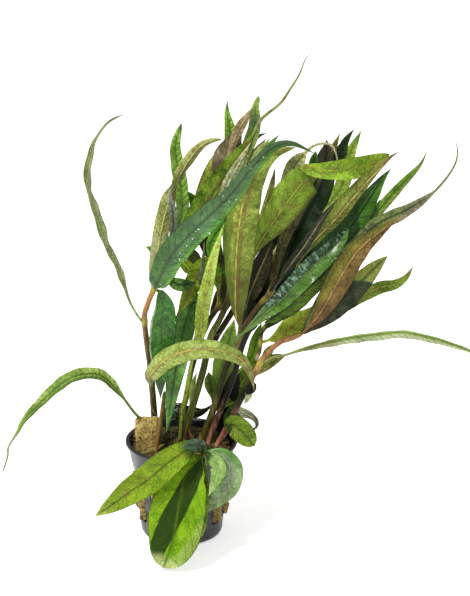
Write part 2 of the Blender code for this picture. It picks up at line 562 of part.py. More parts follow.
    "leaf_olive_back": dict(
        on="stem_middle_branch", width=7.5, stalk=20, widest=0.55, turn=[0, 0],
        points=[(31, 78, 12), (40, 86, 16.5), (54, 100, 18.5), (62, 112, 19), (68.5, 127, 18),
                (74.5, 142, 16.5), (79.5, 153.5, 15)],
        colour=OLIVE),
    "leaf_green_back": dict(
        on="stem_middle_branch", width=7.5, stalk=25, widest=0.6, turn=[0, 0],
        points=[(32.5, 83, 12), (40, 90, 19), (52, 100, 22), (65, 110, 24), (77.5, 122, 25), (82, 132, 24),
                (84.5, 143, 23), (90, 154.5, 21)], colour=LEAF_GREEN),
    "leaf_glossy_point": dict(
        on="stem_tall", width=5, stalk=6, widest=0.5, turn=[0, 0],
        points=[(45, 74.5, 5), (49.5, 80.5, -1), (55.5, 88.5, -6), (62.5, 98, -9.5), (68.5, 107.5, -11),
                (74, 115, -11.5), (79, 121, -12)], colour=NEAR_BLACK),
    "leaf_below_node": dict(
        on="stem_red_outer", width=6.5, stalk=2, widest=0.5, turn=[0, 0],
        points=[(34.5, 28.5, -5), (38, 33.5, -2.5), (43, 38, -1.5), (48, 40.5, -1.5), (52.5, 42, -1.5)],
        colour=DEEP_GREEN),
    "leaf_behind_stems": dict(
        on="stem_tall", width=11, stalk=3, widest=0.5, turn=[0, 0],
        points=[(16, 17, 5), (18, 22.5, 11), (20.5, 34.5, 14), (23.5, 48.5, 15), (26.5, 60, 15)],
        colour=LEAF_GREEN),
    "leaf_pale_tan": dict(
        on="stem_middle", width=6, stalk=10, widest=0.6, turn=[0, 0],
        points=[(25.5, 92, 8), (21.5, 103, 2), (20.5, 115, -4), (23.5, 127.5, -7), (29.5, 139, -8),
                (35, 149, -8)], colour=TAN),
    "leaf_low_olive": dict(
        on="stem_red_inner", width=11, stalk=2, widest=0.5, turn=[0, 0],
        points=[(19.5, 14.5, 2.5), (24.5, 20.5, 10), (29.5, 27, 12), (34, 34, 12), (38, 40, 12)],
        colour=OLIVE),
    "leaf_low_dark": dict(
        on="rock_wool", width=8, stalk=2, widest=0.5, turn=[0, 0],
        points=[(21, 0, 6), (24, 7.5, 6.5), (26.5, 14.5, 7), (28.5, 20, 7)], colour=DEEP_GREEN),
}


def between(values, share):
    """The value at a share of the way along an evenly spaced list."""
    at = share * (len(values) - 1)
    low = min(int(at), len(values) - 2)
    return values[low] + (values[low + 1] - values[low]) * (at - low)


def half_width(leaf, travelled, length):
    """Half the blade's width at a distance from the leaf's foot: a bare stalk, then a lance shape."""
    blade = length - leaf["stalk"] - leaf.get("tail", 0)
    share = min(max(0.0, (travelled - leaf["stalk"]) / blade), 1.0)
    peak = leaf["widest"]
    tip_power = leaf.get("tip", 1.1)
    foot_power = tip_power * peak / (1 - peak)
    shape = (share / peak) ** foot_power * ((1 - share) / (1 - peak)) ** tip_power
    narrow = STALK_HALF_WIDTH
    if travelled > length / 2 and "tail" in leaf:
        narrow = TAIL_HALF_WIDTH
    return max(leaf["width"] / 2 * shape, narrow * max(0.0, 1 - travelled / length) ** 0.5)


def leaf_line(name):
    """The midrib in millimetres, evenly spaced from foot to tip, and its length."""
    leaf = LEAVES[name]
    points = [on_drawing(*point) for point in leaf["points"]]
    if leaf["on"] == "rock_wool":
        points[0].z = max(points[0].z, WOOL_TOP + GAP)
    else:
        stem = STEMS[leaf["on"]]
        reach = stem["foot"] + STALK_THICKNESS / 2 + GAP
        points[0] = beside(points[0], points[1] - points[0], stem_axis(leaf["on"]), reach)
    rough = sum((b - a).length for a, b in zip(points, points[1:]))
    return curve_through(points, max(8, round(rough / STATION_SPACING) + 2))


def add_leaf(name):
    """A thin blade along the midrib: at each station two edge points and a point on either face."""
    leaf = LEAVES[name]
    line, length = leaf_line(name)
    fold = math.radians(leaf.get("fold", 0))
    rings = []
    for i, (centre, along) in enumerate(zip(line, directions(line))):
        share = i / (len(line) - 1)
        facing = (TO_VIEWER - along * TO_VIEWER.dot(along)).normalized()
        right = along.cross(facing)
        turn = math.radians(between(leaf["turn"], share))
        normal = facing * math.cos(turn) + right * math.sin(turn)
        right = right * math.cos(turn) - facing * math.sin(turn)
        reach = max(half_width(leaf, share * length, length), 0.12)
        thick = LEAF_THICKNESS + (STALK_THICKNESS - LEAF_THICKNESS) * max(0.0, 1 - reach / 2)
        thick = thick * min(1.0, 4 * (1 - share)) + 0.1
        lift = normal * reach * math.sin(fold)
        rings.append(
            [
                centre + right * reach * math.cos(fold) + lift,
                centre - normal * thick / 2,
                centre - right * reach * math.cos(fold) + lift,
                centre + normal * thick / 2,
            ]
        )
    return add_object(name, mesh_of_rings(name, rings), finish_material(name, leaf["colour"], 0.45))


def main():
    for old in list(bpy.data.objects):
        bpy.data.objects.remove(old)
    add_net_pot()
    add_rock_wool()
    for name in STEMS:
        add_stem(name)
    for name in LEAVES:
        add_leaf(name)


main()
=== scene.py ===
"""The looks of a potted hygrophila: fine leaves, stems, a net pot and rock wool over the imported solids.

Stems and leaves repeat the named points of the part's source, and are laid out in the same drawing.
"""

import math
import random

import bmesh
import bpy
from mathutils import Matrix, Vector, noise


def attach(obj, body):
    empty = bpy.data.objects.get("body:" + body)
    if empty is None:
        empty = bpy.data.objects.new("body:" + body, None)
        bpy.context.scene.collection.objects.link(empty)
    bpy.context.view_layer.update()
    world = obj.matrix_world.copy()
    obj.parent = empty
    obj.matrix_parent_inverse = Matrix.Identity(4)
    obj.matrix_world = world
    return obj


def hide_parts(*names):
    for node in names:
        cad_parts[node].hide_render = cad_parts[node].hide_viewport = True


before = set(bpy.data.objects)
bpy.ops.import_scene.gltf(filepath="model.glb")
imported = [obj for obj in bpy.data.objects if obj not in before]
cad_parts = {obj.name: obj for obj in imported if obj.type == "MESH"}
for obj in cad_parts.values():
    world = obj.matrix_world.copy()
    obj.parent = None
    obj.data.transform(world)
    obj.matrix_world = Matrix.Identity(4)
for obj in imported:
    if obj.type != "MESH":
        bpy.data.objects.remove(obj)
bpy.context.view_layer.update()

MM = 0.001
GAP = 0.3
BODY = "root"

# The net pot, in millimetres, as in the part's source.
POT_HEIGHT = 50.0
RIM_RADIUS = 28.0
RIM_DEPTH = 1.6
RIM_FOOT = POT_HEIGHT - RIM_DEPTH
COLLAR_TOP_RADIUS = 26.8
COLLAR_FOOT_RADIUS = 24.2
COLLAR_FOOT_HEIGHT = 35.0
BODY_TOP_RADIUS = 23.2
BODY_FOOT_RADIUS = 20.4
BASE_RADIUS = 17.6
BASE_ROUNDING = 3.6
WALL = 1.3
FLOOR_THICKNESS = 1.6
SLOTS = 12
SLOT_TURN = math.radians(25)
SLOT_WIDTH = 6.4
SLOT_FOOT = 9.0
SLOT_TOP = 32.0
SLOT_CUT_DEPTH = 14.0
SLOT_CORNER = 1.2

# The wool in the pot. The loose fibres on it stay inside WOOL_REACH.
WOOL_TOP = 46.5
WOOL_REACH = 24.0
WOOL_INSET = 0.4

# The standing corner of the wool.
BLOCK_LEFT, BLOCK_RIGHT = -22.6, -10.6
BLOCK_FRONT, BLOCK_BACK = -7.0, 5.5
BLOCK_TOP = 61.0

# Fibres on the wool's top, on its standing corner and in each slot, and their radii from end to end.
TOP_FIBRES, BLOCK_FIBRES, SLOT_FIBRES = 170, 200, 20
FIBRE_PARTS = 4
FIBRE_RADII = [0.07, 0.08, 0.04]
ROOT_RADII = [0.12, 0.11, 0.05]

# The drawing that stems and leaves are laid out on, as in the part's source.
SPREAD = 0.8
SPREAD_HEIGHT = 100.0
VIEW_TILT = math.radians(22.5)
VIEW_DISTANCE = 3000.0
DRAWING_MIDDLE = (26.75, 70.5)
TO_VIEWER = Vector((0, -math.cos(VIEW_TILT), math.sin(VIEW_TILT)))
UP_ON_DRAWING = Vector((0, math.sin(VIEW_TILT), math.cos(VIEW_TILT)))
PIXELS_PER_MM = 2.0
IMAGE_HEIGHT = 596
SENSOR_HEIGHT = 36.0

# Stalks, blades and tails, in millimetres. A stalk starts inside its stem, at a share of the stem's radius.
STALK_HALF_WIDTH = 0.8
STALK_THICKNESS = 1.1
STALK_START = 0.6
TAIL_HALF_WIDTH = 1.5
BLADE_THICKNESS = 0.36
MIDRIB_HALF_WIDTH = 0.55
MIDRIB_RISE = {"under": 0.5, "top": -0.35}
SHORTEST_WAVE = 10.0

# A stem swells near its joints and has ridges, both as shares of its radius. It starts this deep in the wool.
JOINT_SWELL = 0.24
JOINT_REACH = 2.2
RIDGE = 0.06
STEM_IN_WOOL = (4, 2)

# How finely the pieces are made, in millimetres along them and in columns or sides across them.
LEAF_STEP = 1.3
LEAF_HALF = (0.07, 0.16, 0.3, 0.48, 0.66, 0.82, 0.93, 1)
LEAF_COLUMNS = (*(-w for w in reversed(LEAF_HALF)), 0, *LEAF_HALF)
STEM_STEP = 1.4
STEM_SIDES = 20
STRAND_STEP = 0.9
STRAND_SIDES = 5
FEWEST_POINTS = 5
CURVE_PARTS = 12
POT_SIDES = 192
WOOL_SIDES, WOOL_LEVELS, WOOL_RINGS = 216, 60, 26
BLOCK_CUTS = 28

# Screen colours that all stems share, and then those that many leaves share.
NODE_COLOUR = (166, 160, 70)
STREAK = (30, 24, 16)
PALE_STREAK = (214, 186, 156)
STEM_SPOT = (196, 176, 120)
BLOTCH = (104, 90, 48)
FLECK = (112, 74, 48)
# A painted highlight for the crests of wet folds.
CREST_HIGHLIGHT = (122, 158, 132)
# Painted highlights: small pale glints painted on glossy leaves, as light on a wet surface would give.
PAINTED_GLINT = (214, 218, 200)
FAR_SIDE = {"top": (104, 128, 56), "under": (52, 84, 34)}
# Leaves are pale when their light colour adds up to more than this.
PALE = 260
# Leaves whose gloss is above this get painted highlights, small pale glints as on a wet surface.
PAINTED_GLINT_GLOSS = 0.65
# Cells of the leaf's fine net of veins, for each millimetre.
NET_SCALE = 0.62
# These leaves leave their stem without a swelling or a pale band.
PLAIN_FEET = ("leaf_below_node", "leaf_curled_loop", "leaf_right_oval")

# The floor is lit a little from within, as a light table is, so its shadows stay faint.
FLOOR_HALF = 4.0
FLOOR_GLOW = 0.6
SKY_AT_HORIZON = 0.24
SKY_OVERHEAD = 0.64

# The lamp, in metres and watts.
KEY_PLACE = (-0.9, -0.8, 1.6)
KEY_AIM = (0.02, 0, 0.12)
KEY_SIZE = 0.5
KEY_POWER = 38.0
KEY_COLOUR = (1.0, 0.98, 0.94)


def stem(foot, top, points, colours, grows_on=None):
    """A stem: its radius at the foot and top, points on the drawing from the wool upwards, and its colours.

    Each colour is a share of the way up and a screen colour. A stem that grows out of another one names it.
    """
    return dict(foot=foot, top=top, points=points, colours=colours, grows_on=grows_on)


def leaf(on, width, stalk, widest, points, look, tip=1.1, tail=0, turn=(0, 0)):
    """A leaf: the stem it grows on or the wool, and points of its midrib on the drawing from foot to tip.

    width is the full width, stalk the length of the bare stalk, and widest the share of the blade's length
    where it is widest.
    tip is how bluntly the blade ends, the smaller the blunter, and tail the length of a long narrow end.
    turn is how far the blade is turned about its midrib away from facing the viewer, in degrees, from foot
    to tip: above zero its right edge goes back.
    """
    return dict(
        on=on, width=width, stalk=stalk, widest=widest, tip=tip, tail=tail, turn=turn,
        points=points, look=look
    )


def look(face, light, dark, zones, wave=0.14, cup=0.12, fold=0.0, gloss=0.0, crinkle=0.0, rib=0.0, **tints):
    """The look of a blade. face is the side that faces the viewer, and light and dark mottle it.

    All colours are screen colours. wave, cup and fold shape the blade: ripples of its edges, a hollow across
    it, and edges that lift to the viewer. crinkle is how strongly wet folds are painted, with highlights on
    their crests and shade in their dips, rib moves the midrib off the middle, in millimetres, and tints may
    give the colours of the midrib and of each vein.
    """
    return dict(
        face=face, light=light, dark=dark, zones=zones, wave=wave, cup=cup, fold=fold, gloss=gloss,
        crinkle=crinkle, rib=rib, **tints
    )


def top(light, dark, *zones, **more):
    """The look of a leaf's upper side, with a sunken midrib."""
    return look("top", light, dark, zones, **more)


def under(light, dark, *zones, **more):
    """The look of a leaf's pale and matt lower side, with a raised midrib."""
    return look("under", light, dark, zones, **more)


def zone(across, along, start, end, colour, strength=0.8, soft=0.04):
    """Paints part of a blade: the points where across * w + along * share lies between start and end.

    w runs from -1 at the left edge to 1 at the right one, seen with the tip up, and share from foot to tip.
    """
    return across, along, start, end, colour, strength, soft


def foot(end, colour, strength=0.8, soft=0.05):
    return zone(0, 1, -0.3, end, colour, strength, soft)


def tip(start, colour, strength=0.8, soft=0.05):
    return zone(0, 1, start, 1.4, colour, strength, soft)


def left(end, colour, strength=0.8, soft=0.06):
    return zone(1, 0, -1.6, end, colour, strength, soft)


def right(start, colour, strength=0.8, soft=0.06):
    return zone(1, 0, start, 1.6, colour, strength, soft)


# The stems.
STEMS = {
    "stem_left": stem(1.7, 1.1, [
        (-13.5, 0, 9), (-13.5, 10, 8), (-15.5, 34.5, 0), (-18.5, 58.5, -6), (-17, 67, -8), (-14, 74.5, -9),
        (-8.5, 86, -2), (-5.5, 94, 4)
    ], [(0, (58, 50, 28)), (0.25, (72, 66, 34)), (0.45, (84, 80, 38)), (0.6, (124, 94, 56)),
        (0.7, (156, 110, 68)), (1, (110, 98, 50))]),
    "stem_front_left": stem(1.4, 1.0, [
        (-13, -7.5, -11), (-12.5, -3.5, -10), (-10.5, 7.5, -7), (-9, 18.5, -3), (-8.5, 24, -1)
    ], [(0, (126, 86, 46)), (0.5, (118, 96, 48)), (1, (92, 84, 40))]),
    "stem_slim": stem(1.6, 1.2, [
        (-0.5, 0.5, 10), (0.5, 15.5, 10), (2, 19.5, 10), (5.5, 37, 10.5), (12, 56, 11), (19, 67.5, 12),
        (20.5, 77, 13), (21.5, 88, 15)
    ], [(0, (44, 44, 24)), (0.1, (74, 84, 34)), (0.17, (160, 184, 66)), (0.36, (146, 172, 60)),
        (0.44, (60, 58, 30)), (0.7, (74, 66, 40)), (1, (84, 74, 44))]),
    "stem_middle": stem(1.9, 1.3, [
        (1.5, -1, 6), (3.5, 9.5, 5), (6.5, 19.5, 4.5), (11, 35, 4), (14.5, 51, 4.5), (19, 59.5, 5),
        (23.5, 70.5, 6), (24.5, 82, 7), (25.5, 92, 8)
    ], [(0, (78, 62, 36)), (0.05, (96, 80, 44)), (0.13, (108, 114, 46)), (0.3, (100, 112, 44)),
        (0.42, (72, 74, 32)), (0.55, (118, 124, 54)), (0.75, (92, 82, 50)), (1, (112, 112, 50))]),
    "stem_middle_branch": stem(1.5, 1.2, [
        (13.5, 45, 4), (17.5, 51, 7), (25, 63, 10), (29.5, 72, 12), (32.5, 83, 12)
    ], [(0, (50, 44, 26)), (0.5, (60, 56, 32)), (1, (46, 44, 26))], grows_on="stem_middle"),
    # stem_tall: the near-black stretch from about a quarter to half way up is painted shade.
    "stem_tall": stem(1.75, 1.2, [
        (10, -1, 6), (13.3, 7.5, 5.5), (16.6, 17, 5), (22, 35, 4), (28.5, 49, 3), (31.5, 56, 3),
        (38, 65.5, 4), (45, 74.5, 5), (45.6, 86, 7), (45.4, 98, 10)
    ], [(0, (160, 108, 64)), (0.05, (136, 124, 54)), (0.18, (116, 120, 48)), (0.27, (54, 58, 26)),
        (0.47, (34, 36, 18)), (0.54, (112, 88, 62)), (0.78, (92, 76, 52)), (1, (70, 60, 40))]),
    # stem_red_inner: the near-black stretch from about a quarter to over half way up is painted shade.
    "stem_red_inner": stem(1.4, 1.4, [
        (13.5, -2, 3), (16.5, 7.5, 3), (21.5, 19, 2), (26.5, 32.5, 1), (31.5, 49.5, -1), (40, 64.5, -1),
        (49, 71.5, 0), (57, 82, 1.5)
    ], [(0, (204, 158, 86)), (0.03, (178, 122, 90)), (0.1, (150, 98, 80)), (0.17, (108, 70, 58)),
        (0.23, (52, 42, 34)), (0.3, (18, 17, 12)), (0.6, (36, 36, 22)), (1, (46, 40, 26))]),
    # stem_red_outer: the near-black stretch at about two fifths of the way up, under the front arch's end, is
    # painted shade.
    "stem_red_outer": stem(1.5, 1.2, [
        (18, -3.5, -0.5), (22, 4.5, -1.5), (26.5, 13.5, -3), (30.2, 20.5, -4), (34, 28, -5),
        (39.5, 38.5, -7), (43.5, 43.5, -8), (49.5, 48.5, -9), (56, 51, -10), (60.5, 52.5, -10)
    ], [(0, (220, 170, 96)), (0.04, (196, 130, 100)), (0.16, (160, 98, 80)), (0.28, (126, 80, 64)),
        (0.35, (60, 44, 36)), (0.42, (20, 18, 14)), (0.51, (66, 48, 32)), (0.58, (124, 92, 54)),
        (0.62, (180, 136, 78)), (0.68, (160, 116, 68)), (0.74, (156, 108, 70)), (1, (142, 98, 66))]),
    "stem_side_shoot": stem(0.9, 0.8, [
        (39.5, 38.5, -7), (39, 43.5, -7.5), (39.8, 51, -7), (41.5, 57.5, -7)
    ], [(0, (96, 74, 50)), (0.4, (60, 50, 36)), (1, (46, 42, 30))], grows_on="stem_red_outer"),
    "stem_low_front": stem(1.2, 1.1, [
        (12.5, -4.5, -4), (12, -5, -12), (10.5, -6, -24)
    ], [(0, (74, 88, 44)), (1, (74, 98, 52))]),
}

# The leaves of the solids.
LEAVES = {
    "leaf_far_left": leaf("stem_left", 9, 8, 0.45, [
        (-18.5, 58.5, -6), (-21.5, 61, -7), (-26, 69, -9), (-32.5, 85.5, -11), (-37.5, 95, -12),
        (-42.5, 109.5, -13), (-47, 124, -13), (-48, 133.5, -12), (-45.5, 145, -10), (-43, 150.5, -9),
        (-36.5, 158.5, -7), (-28.5, 162.5, -5)
    ], under((184, 200, 130), (122, 148, 72), right(0.5, (196, 204, 158)), tip(0.9, (124, 118, 100)),
        wave=0.07, cup=0.3), turn=[60, 70, 60, 72, 62, 75, 55, 75, 60]),
    "leaf_low_left": leaf("rock_wool", 6.5, 14, 0.4, [
        (-21, 10.5, 0), (-25, 15, -2), (-30.5, 22.5, -5), (-37.5, 30, -8), (-43.5, 32.5, -10),
        (-53, 31.5, -13), (-62, 26, -16), (-72, 16.5, -19), (-79, 9, -21), (-82, 3.5, -22),
        (-86.5, -4, -23), (-87, -9, -24), (-90, -18.5, -25)
    ], top((160, 186, 96), (92, 126, 42), left(-0.4, (76, 108, 36)), tip(0.78, (160, 164, 136), 0.7),
        wave=0.1, cup=0.3), tail=14, turn=[20, 30]),
    "leaf_far_right": leaf("stem_red_outer", 8, 14, 0.45, [
        (39.5, 38.5, -7), (46, 41, -9), (52, 42, -11), (67.5, 47, -14), (83.5, 50.5, -17), (98, 52.5, -19),
        (109, 53.5, -20), (117.5, 52.5, -21), (131, 49, -22), (144.5, 44, -23), (159, 35.5, -24)
    ], top((166, 188, 108), (104, 134, 50), right(0.4, (204, 212, 168), 0.8),
        foot(0.25, (132, 122, 78), 0.7), wave=0.05, cup=0.35), turn=[50, 60, 60]),
    "leaf_front_arch": leaf("stem_left", 10.5, 2, 0.42, [
        (-15, 27.5, 2), (-16, 30, -7), (-13.5, 34.5, -14), (-6, 41, -18), (5, 44.5, -21), (14.5, 45, -22),
        (23.5, 43, -22), (30.5, 39, -21), (34.5, 32.5, -19), (36.5, 24, -17)
    ], under((164, 182, 96), (104, 122, 48), foot(0.14, (156, 150, 108)), tip(0.8, (138, 134, 82), 0.7),
        wave=0.15, cup=-0.25, midrib=(182, 162, 84)), turn=[-20, -10, 0, 10]),
    # leaf_big_dark: the grey-blue zone along its middle is a painted sheen.
    "leaf_big_dark": leaf("stem_left", 13.8, 2, 0.25, [
        (-14, 74.5, -9), (-11.5, 79, -12), (-9, 84, -13.5), (-4.8, 92, -15), (4.5, 102.5, -16.5),
        (16, 113.5, -18), (26.5, 124.5, -19), (35, 135.5, -19), (42, 143, -18), (47, 146.3, -16.5),
        (51.5, 147.7, -15), (56, 147.5, -13.5), (60.5, 145.8, -12), (68, 142, -10)
    ], top((72, 118, 42), (26, 62, 18), zone(0.1, 1, 0.2, 0.8, (88, 126, 88), 0.4, 0.12),
        right(0.72, (88, 152, 40), 0.85), tip(0.9, (60, 78, 34)), left(-0.5, (58, 104, 42), 0.5, 0.12),
        gloss=0.9, cup=0.2, midrib=(44, 60, 30)), tip=1.15, turn=[0, 0, 0, 25, 35, 25, 10]),
    # leaf_centre: the darker zones at its foot and along its left edge are painted shade.
    "leaf_centre": leaf("stem_tall", 16, 8, 0.53, [
        (29.5, 51, 3), (29.2, 56, -1.5), (28.4, 64, -4), (28.3, 74, -6), (28.8, 91, -8), (30.2, 107, -9),
        (32.8, 121, -10), (36, 130.5, -10.5), (41, 138.3, -11), (48, 143.2, -11.5), (57, 145.8, -11)
    ], under((166, 190, 78), (78, 94, 32), foot(0.36, (88, 86, 36), 0.7, 0.14),
        left(-0.55, (94, 120, 36), 0.7, 0.12), zone(1, 0, -0.1, 0.16, (122, 94, 56), 0.55, 0.08),
        cup=-0.15, rib=-1.4, midrib=(198, 188, 84), vein=(84, 80, 34)), tip=0.85, turn=[0, 0, 10, 40]),
    # leaf_wide: the brownish zone along its right edge is painted shade.
    "leaf_wide": leaf("stem_tall", 18, 40, 0.6, [
        (28.5, 49, 3), (29.5, 59.5, 6), (31, 72, 5), (34, 84.5, 3), (37.2, 94.5, 0.5), (41.7, 102.3, -1.5),
        (47, 110, -3), (54, 120, -4), (59, 126.5, -3), (63, 130, 0), (66, 131, 5.5), (68, 130.5, 11)
    ], under((128, 154, 50), (54, 68, 18), zone(1, -1.2, -3, -0.55, (150, 184, 64), 0.7, 0.12),
        right(0.75, (92, 88, 46), 0.6, 0.15), cup=-0.12, midrib=(164, 166, 66), vein=(52, 58, 24))),
    "leaf_bright_flat": leaf("stem_tall", 10.5, 68, 0.65, [
        (45, 74.5, 5), (48.5, 86, 3.5), (51, 103, 3.5), (53.5, 118, 4), (56, 130.5, 4), (58.7, 135.2, 1.5),
        (61.8, 135.2, -4.5), (69, 134.2, -8), (78, 134.4, -9.5), (86, 135.3, -9), (93, 137, -6.5),
        (99, 139.8, -4), (104, 142.5, -2)
    ], under((150, 182, 58), (100, 134, 32), foot(0.2, (116, 138, 46), 0.7),
        foot(0.02, (64, 52, 32), 0.9, 0.02), tip(0.97, (124, 108, 50)), cup=0.2, midrib=(138, 160, 48)),
        tip=0.75),
    "leaf_tan": leaf("stem_red_inner", 8.5, 8, 0.45, [
        (57, 82, 1.5), (60, 92.5, -4), (66.8, 101.3, -7), (77.8, 112.6, -9), (84.3, 120.6, -10),
        (95.6, 133.2, -10.5), (104.5, 141, -9), (109.5, 144, -8)
    ], under((132, 144, 66), (66, 78, 24), tip(0.86, (124, 108, 72)), left(-0.5, (108, 120, 42), 0.7),
        cup=-0.15, rib=1.2, midrib=(180, 168, 94))),
    # leaf_right_dark: its dark colours and the dark band along its left edge are painted shade; the bright
    # green zone toward its tip is the part painted in light.
    "leaf_right_dark": leaf("stem_red_inner", 14, 2, 0.4, [
        (57, 82, 1.5), (66, 87, 0.5), (77, 97, -1.5), (85.5, 107, -2.5), (93.5, 119.5, -2.5),
        (100, 129.5, -2), (105, 135.5, -1)
    ], top((62, 98, 52), (22, 46, 20), zone(0.1, 1, 0.6, 1.4, (96, 158, 44), 0.92, 0.02),
        left(-0.25, (38, 70, 28), 0.9, 0.04), gloss=0.4)),
    "leaf_right_low_dark": leaf("stem_red_inner", 11, 6, 0.5, [
        (53, 77, 1), (60, 79, 2.5), (70, 85, 4.5), (80.5, 93, 5.5), (87.5, 101, 6), (94, 109, 6),
        (99.5, 120, 6)
    ], top((84, 120, 44), (40, 68, 22), gloss=0.3)),
    "leaf_right_curled": leaf("stem_red_inner", 5.5, 30, 0.5, [
        (50, 73, 0.2), (56, 72.5, 6.5), (70, 80, 10), (84, 92, 12), (94.5, 109, 12), (107.5, 124.5, 11),
        (118, 135.5, 9.5), (121, 140, 9), (123, 144.5, 9)
    ], top((136, 172, 66), (82, 120, 32), tip(0.9, (110, 104, 88)), right(0.5, (150, 142, 90), 0.6),
        wave=0.1), turn=[0, 20, 0]),
    "leaf_right_long": leaf("stem_red_outer", 8.2, 10, 0.6, [
        (60.5, 52.5, -10), (64, 62, -9), (69, 72, -7), (75, 82, -5), (81, 91.5, -4), (88, 98, -5),
        (97, 107, -6), (112.8, 114.8, -8), (124.3, 122, -9), (130, 127.5, -10), (134.3, 133, -10),
        (137.2, 138.5, -9.5), (138, 144, -9), (137, 149.5, -8.5)
    ], top((134, 152, 70), (34, 56, 14), tip(0.6, (132, 130, 92), 0.85), right(0.35, (136, 124, 96), 0.85),
        foot(0.4, (58, 88, 26), 0.6), gloss=0.9, wave=0.08, cup=0.3), tail=27, turn=[0, 20, 20, 20, 20]),
    "leaf_brown": leaf("stem_red_outer", 12.3, 5, 0.48, [
        (60.5, 52.5, -10), (64.5, 57.2, -14), (70, 64, -17), (76, 74.5, -19), (82.5, 86, -20),
        (88, 93.8, -20), (93.5, 99.3, -19), (101, 105, -17), (108.5, 110.5, -15)
    ], under((136, 112, 62), (60, 52, 20), zone(-1, 0.6, 0.3, 1.6, (116, 120, 40), 0.75, 0.12),
        foot(0.3, (112, 78, 48), 0.65, 0.1), left(-0.6, (82, 80, 30), 0.7), right(0.9, (128, 82, 40), 0.5),
        cup=-0.15, midrib=(168, 132, 84), vein=(62, 44, 20))),
    # leaf_shaded: its dark slate colours are painted shade, and the olive zone past a sharp edge toward its
    # tip is the part painted in light.
    "leaf_shaded": leaf("stem_red_outer", 11, 1, 0.55, [
        (60.5, 52.5, -10), (66.5, 55.8, -11), (75.2, 63, -11), (84, 72.5, -11), (92, 81, -10.5),
        (98, 87, -10), (103, 91.5, -9.5)
    ], under((72, 80, 58), (34, 40, 32), zone(-0.07, 1, 0.69, 1.5, (136, 146, 64), 0.97, 0.012),
        foot(0.16, (76, 60, 42), 0.7), midrib=(64, 64, 48), vein=(26, 30, 24)), tip=0.9),
    # leaf_right_low: the dark zone with a sharp edge is a painted cast shadow.
    "leaf_right_low": leaf("stem_red_outer", 6.5, 8, 0.55, [
        (60.5, 52.5, -10), (68, 57.3, -6), (78, 63, -3), (88.5, 70.5, -1), (99, 75.6, 0), (106.5, 77.2, 1),
        (112, 80.6, 1), (116, 86.5, 1)
    ], under((132, 158, 60), (84, 108, 30), zone(0.06, 1, -0.4, 0.44, (46, 52, 40), 0.95, 0.014),
        tip(0.92, (108, 104, 78)), wave=0.12, cup=0.25)),
    "leaf_olive_right": leaf("stem_side_shoot", 11.5, 3, 0.5, [
        (40.5, 48.5, -7), (44, 49.5, -6), (49.5, 51.5, -5), (56.5, 56.5, -4), (63, 62, -3.5), (67, 67, -3)
    ], under((192, 208, 76), (140, 164, 42), midrib=(176, 168, 66))),
    "leaf_folded_green": leaf("stem_tall", 11, 12, 0.66, [
        (27.5, 47, 3.2), (26.5, 49.5, -3), (31.5, 53.5, -7.5), (37.7, 59, -10), (43, 63.8, -12.5),
        (50.3, 69.8, -14), (60.4, 80.6, -14.5), (66.7, 86.8, -14), (72.5, 92, -13.5), (79.2, 99, -11.5),
        (83.5, 105, -9)
    ], top((52, 90, 42), (10, 28, 12), right(0.02, (88, 134, 40), 0.94, 0.03),
        foot(0.34, (108, 144, 62), 0.9, 0.05), zone(-0.5, 1, 0.2, 0.5, (34, 62, 30), 0.4, 0.12),
        gloss=0.85, fold=0.35, crinkle=0.8, midrib=(104, 140, 54)), tip=0.75),
    "leaf_under_dark": leaf("stem_side_shoot", 11, 1, 0.4, [
        (41.5, 57.5, -7), (49, 63, -7.5), (54.5, 67.5, -8), (64, 76, -8), (73, 84, -8), (81, 91, -7)
    ], top((80, 106, 32), (32, 46, 14))),
    "leaf_right_oval": leaf("stem_red_outer", 11.5, 2, 0.5, [
        (22, 4.5, -1.5), (25.3, 7.2, -5.5), (29, 4.8, -8.5), (32.8, 0.9, -10.5), (36.4, -3.6, -11.5)
    ], top((132, 160, 52), (74, 98, 26), cup=0.15, midrib=(70, 84, 30)), tip=0.55),
    "leaf_curled_loop": leaf("stem_red_outer", 4.8, 1, 0.25, [
        (28.3, 16, -3.5), (31.3, 13, 0), (34.8, 11.5, 2), (37.3, 9.3, 3), (37.7, 6.4, 2), (35.6, 4.8, 0.5),
        (33.3, 5.8, -1)
    ], under((190, 196, 156), (74, 80, 42), gloss=0.5), tip=0.9, turn=[0, 10, 40, 60, 60]),
    "leaf_front_left": leaf("stem_low_front", 15, 3, 0.47, [
        (10.5, -6, -24), (7.5, -4, -28), (3.5, -4.8, -33), (-2, -8.4, -36), (-7, -12, -38),
        (-17, -20.5, -40), (-24.5, -25.5, -41), (-33.5, -32, -42), (-43, -38.5, -43)
    ], under((136, 166, 36), (80, 112, 18), tip(0.9, (184, 190, 104), 0.7, 0.1),
        foot(0.17, (44, 78, 44), 0.85), zone(1, 0, 0.3, 1.6, (120, 142, 34), 0.5, 0.12), cup=0.12,
        midrib=(84, 88, 32), vein=(62, 84, 20)), tip=0.85),
    # leaf_front: the dark band slanting across its blade is a painted cast shadow.
    "leaf_front": leaf("stem_low_front", 28, 3, 0.55, [
        (10.5, -6, -24), (9.2, -8.8, -27.5), (5.2, -13.2, -30.5), (1.6, -20, -34), (-0.7, -30, -38),
        (-2.5, -40, -42), (-4.4, -51, -46), (-9, -64.5, -50.5)
    ], top((134, 172, 30), (78, 126, 6), zone(1, -1.4, -1.02, -0.24, (30, 52, 14), 0.95, 0.03),
        foot(0.04, (56, 72, 22), 0.8), zone(-1, 1.6, 1.75, 4, (162, 182, 94), 0.65, 0.1),
        tip(0.93, (200, 212, 140), 0.75, 0.05), cup=0.08, midrib=(84, 104, 22), vein=(54, 84, 8)),
        tip=0.48),
    "leaf_front_pale": leaf("stem_low_front", 15, 8, 0.65, [
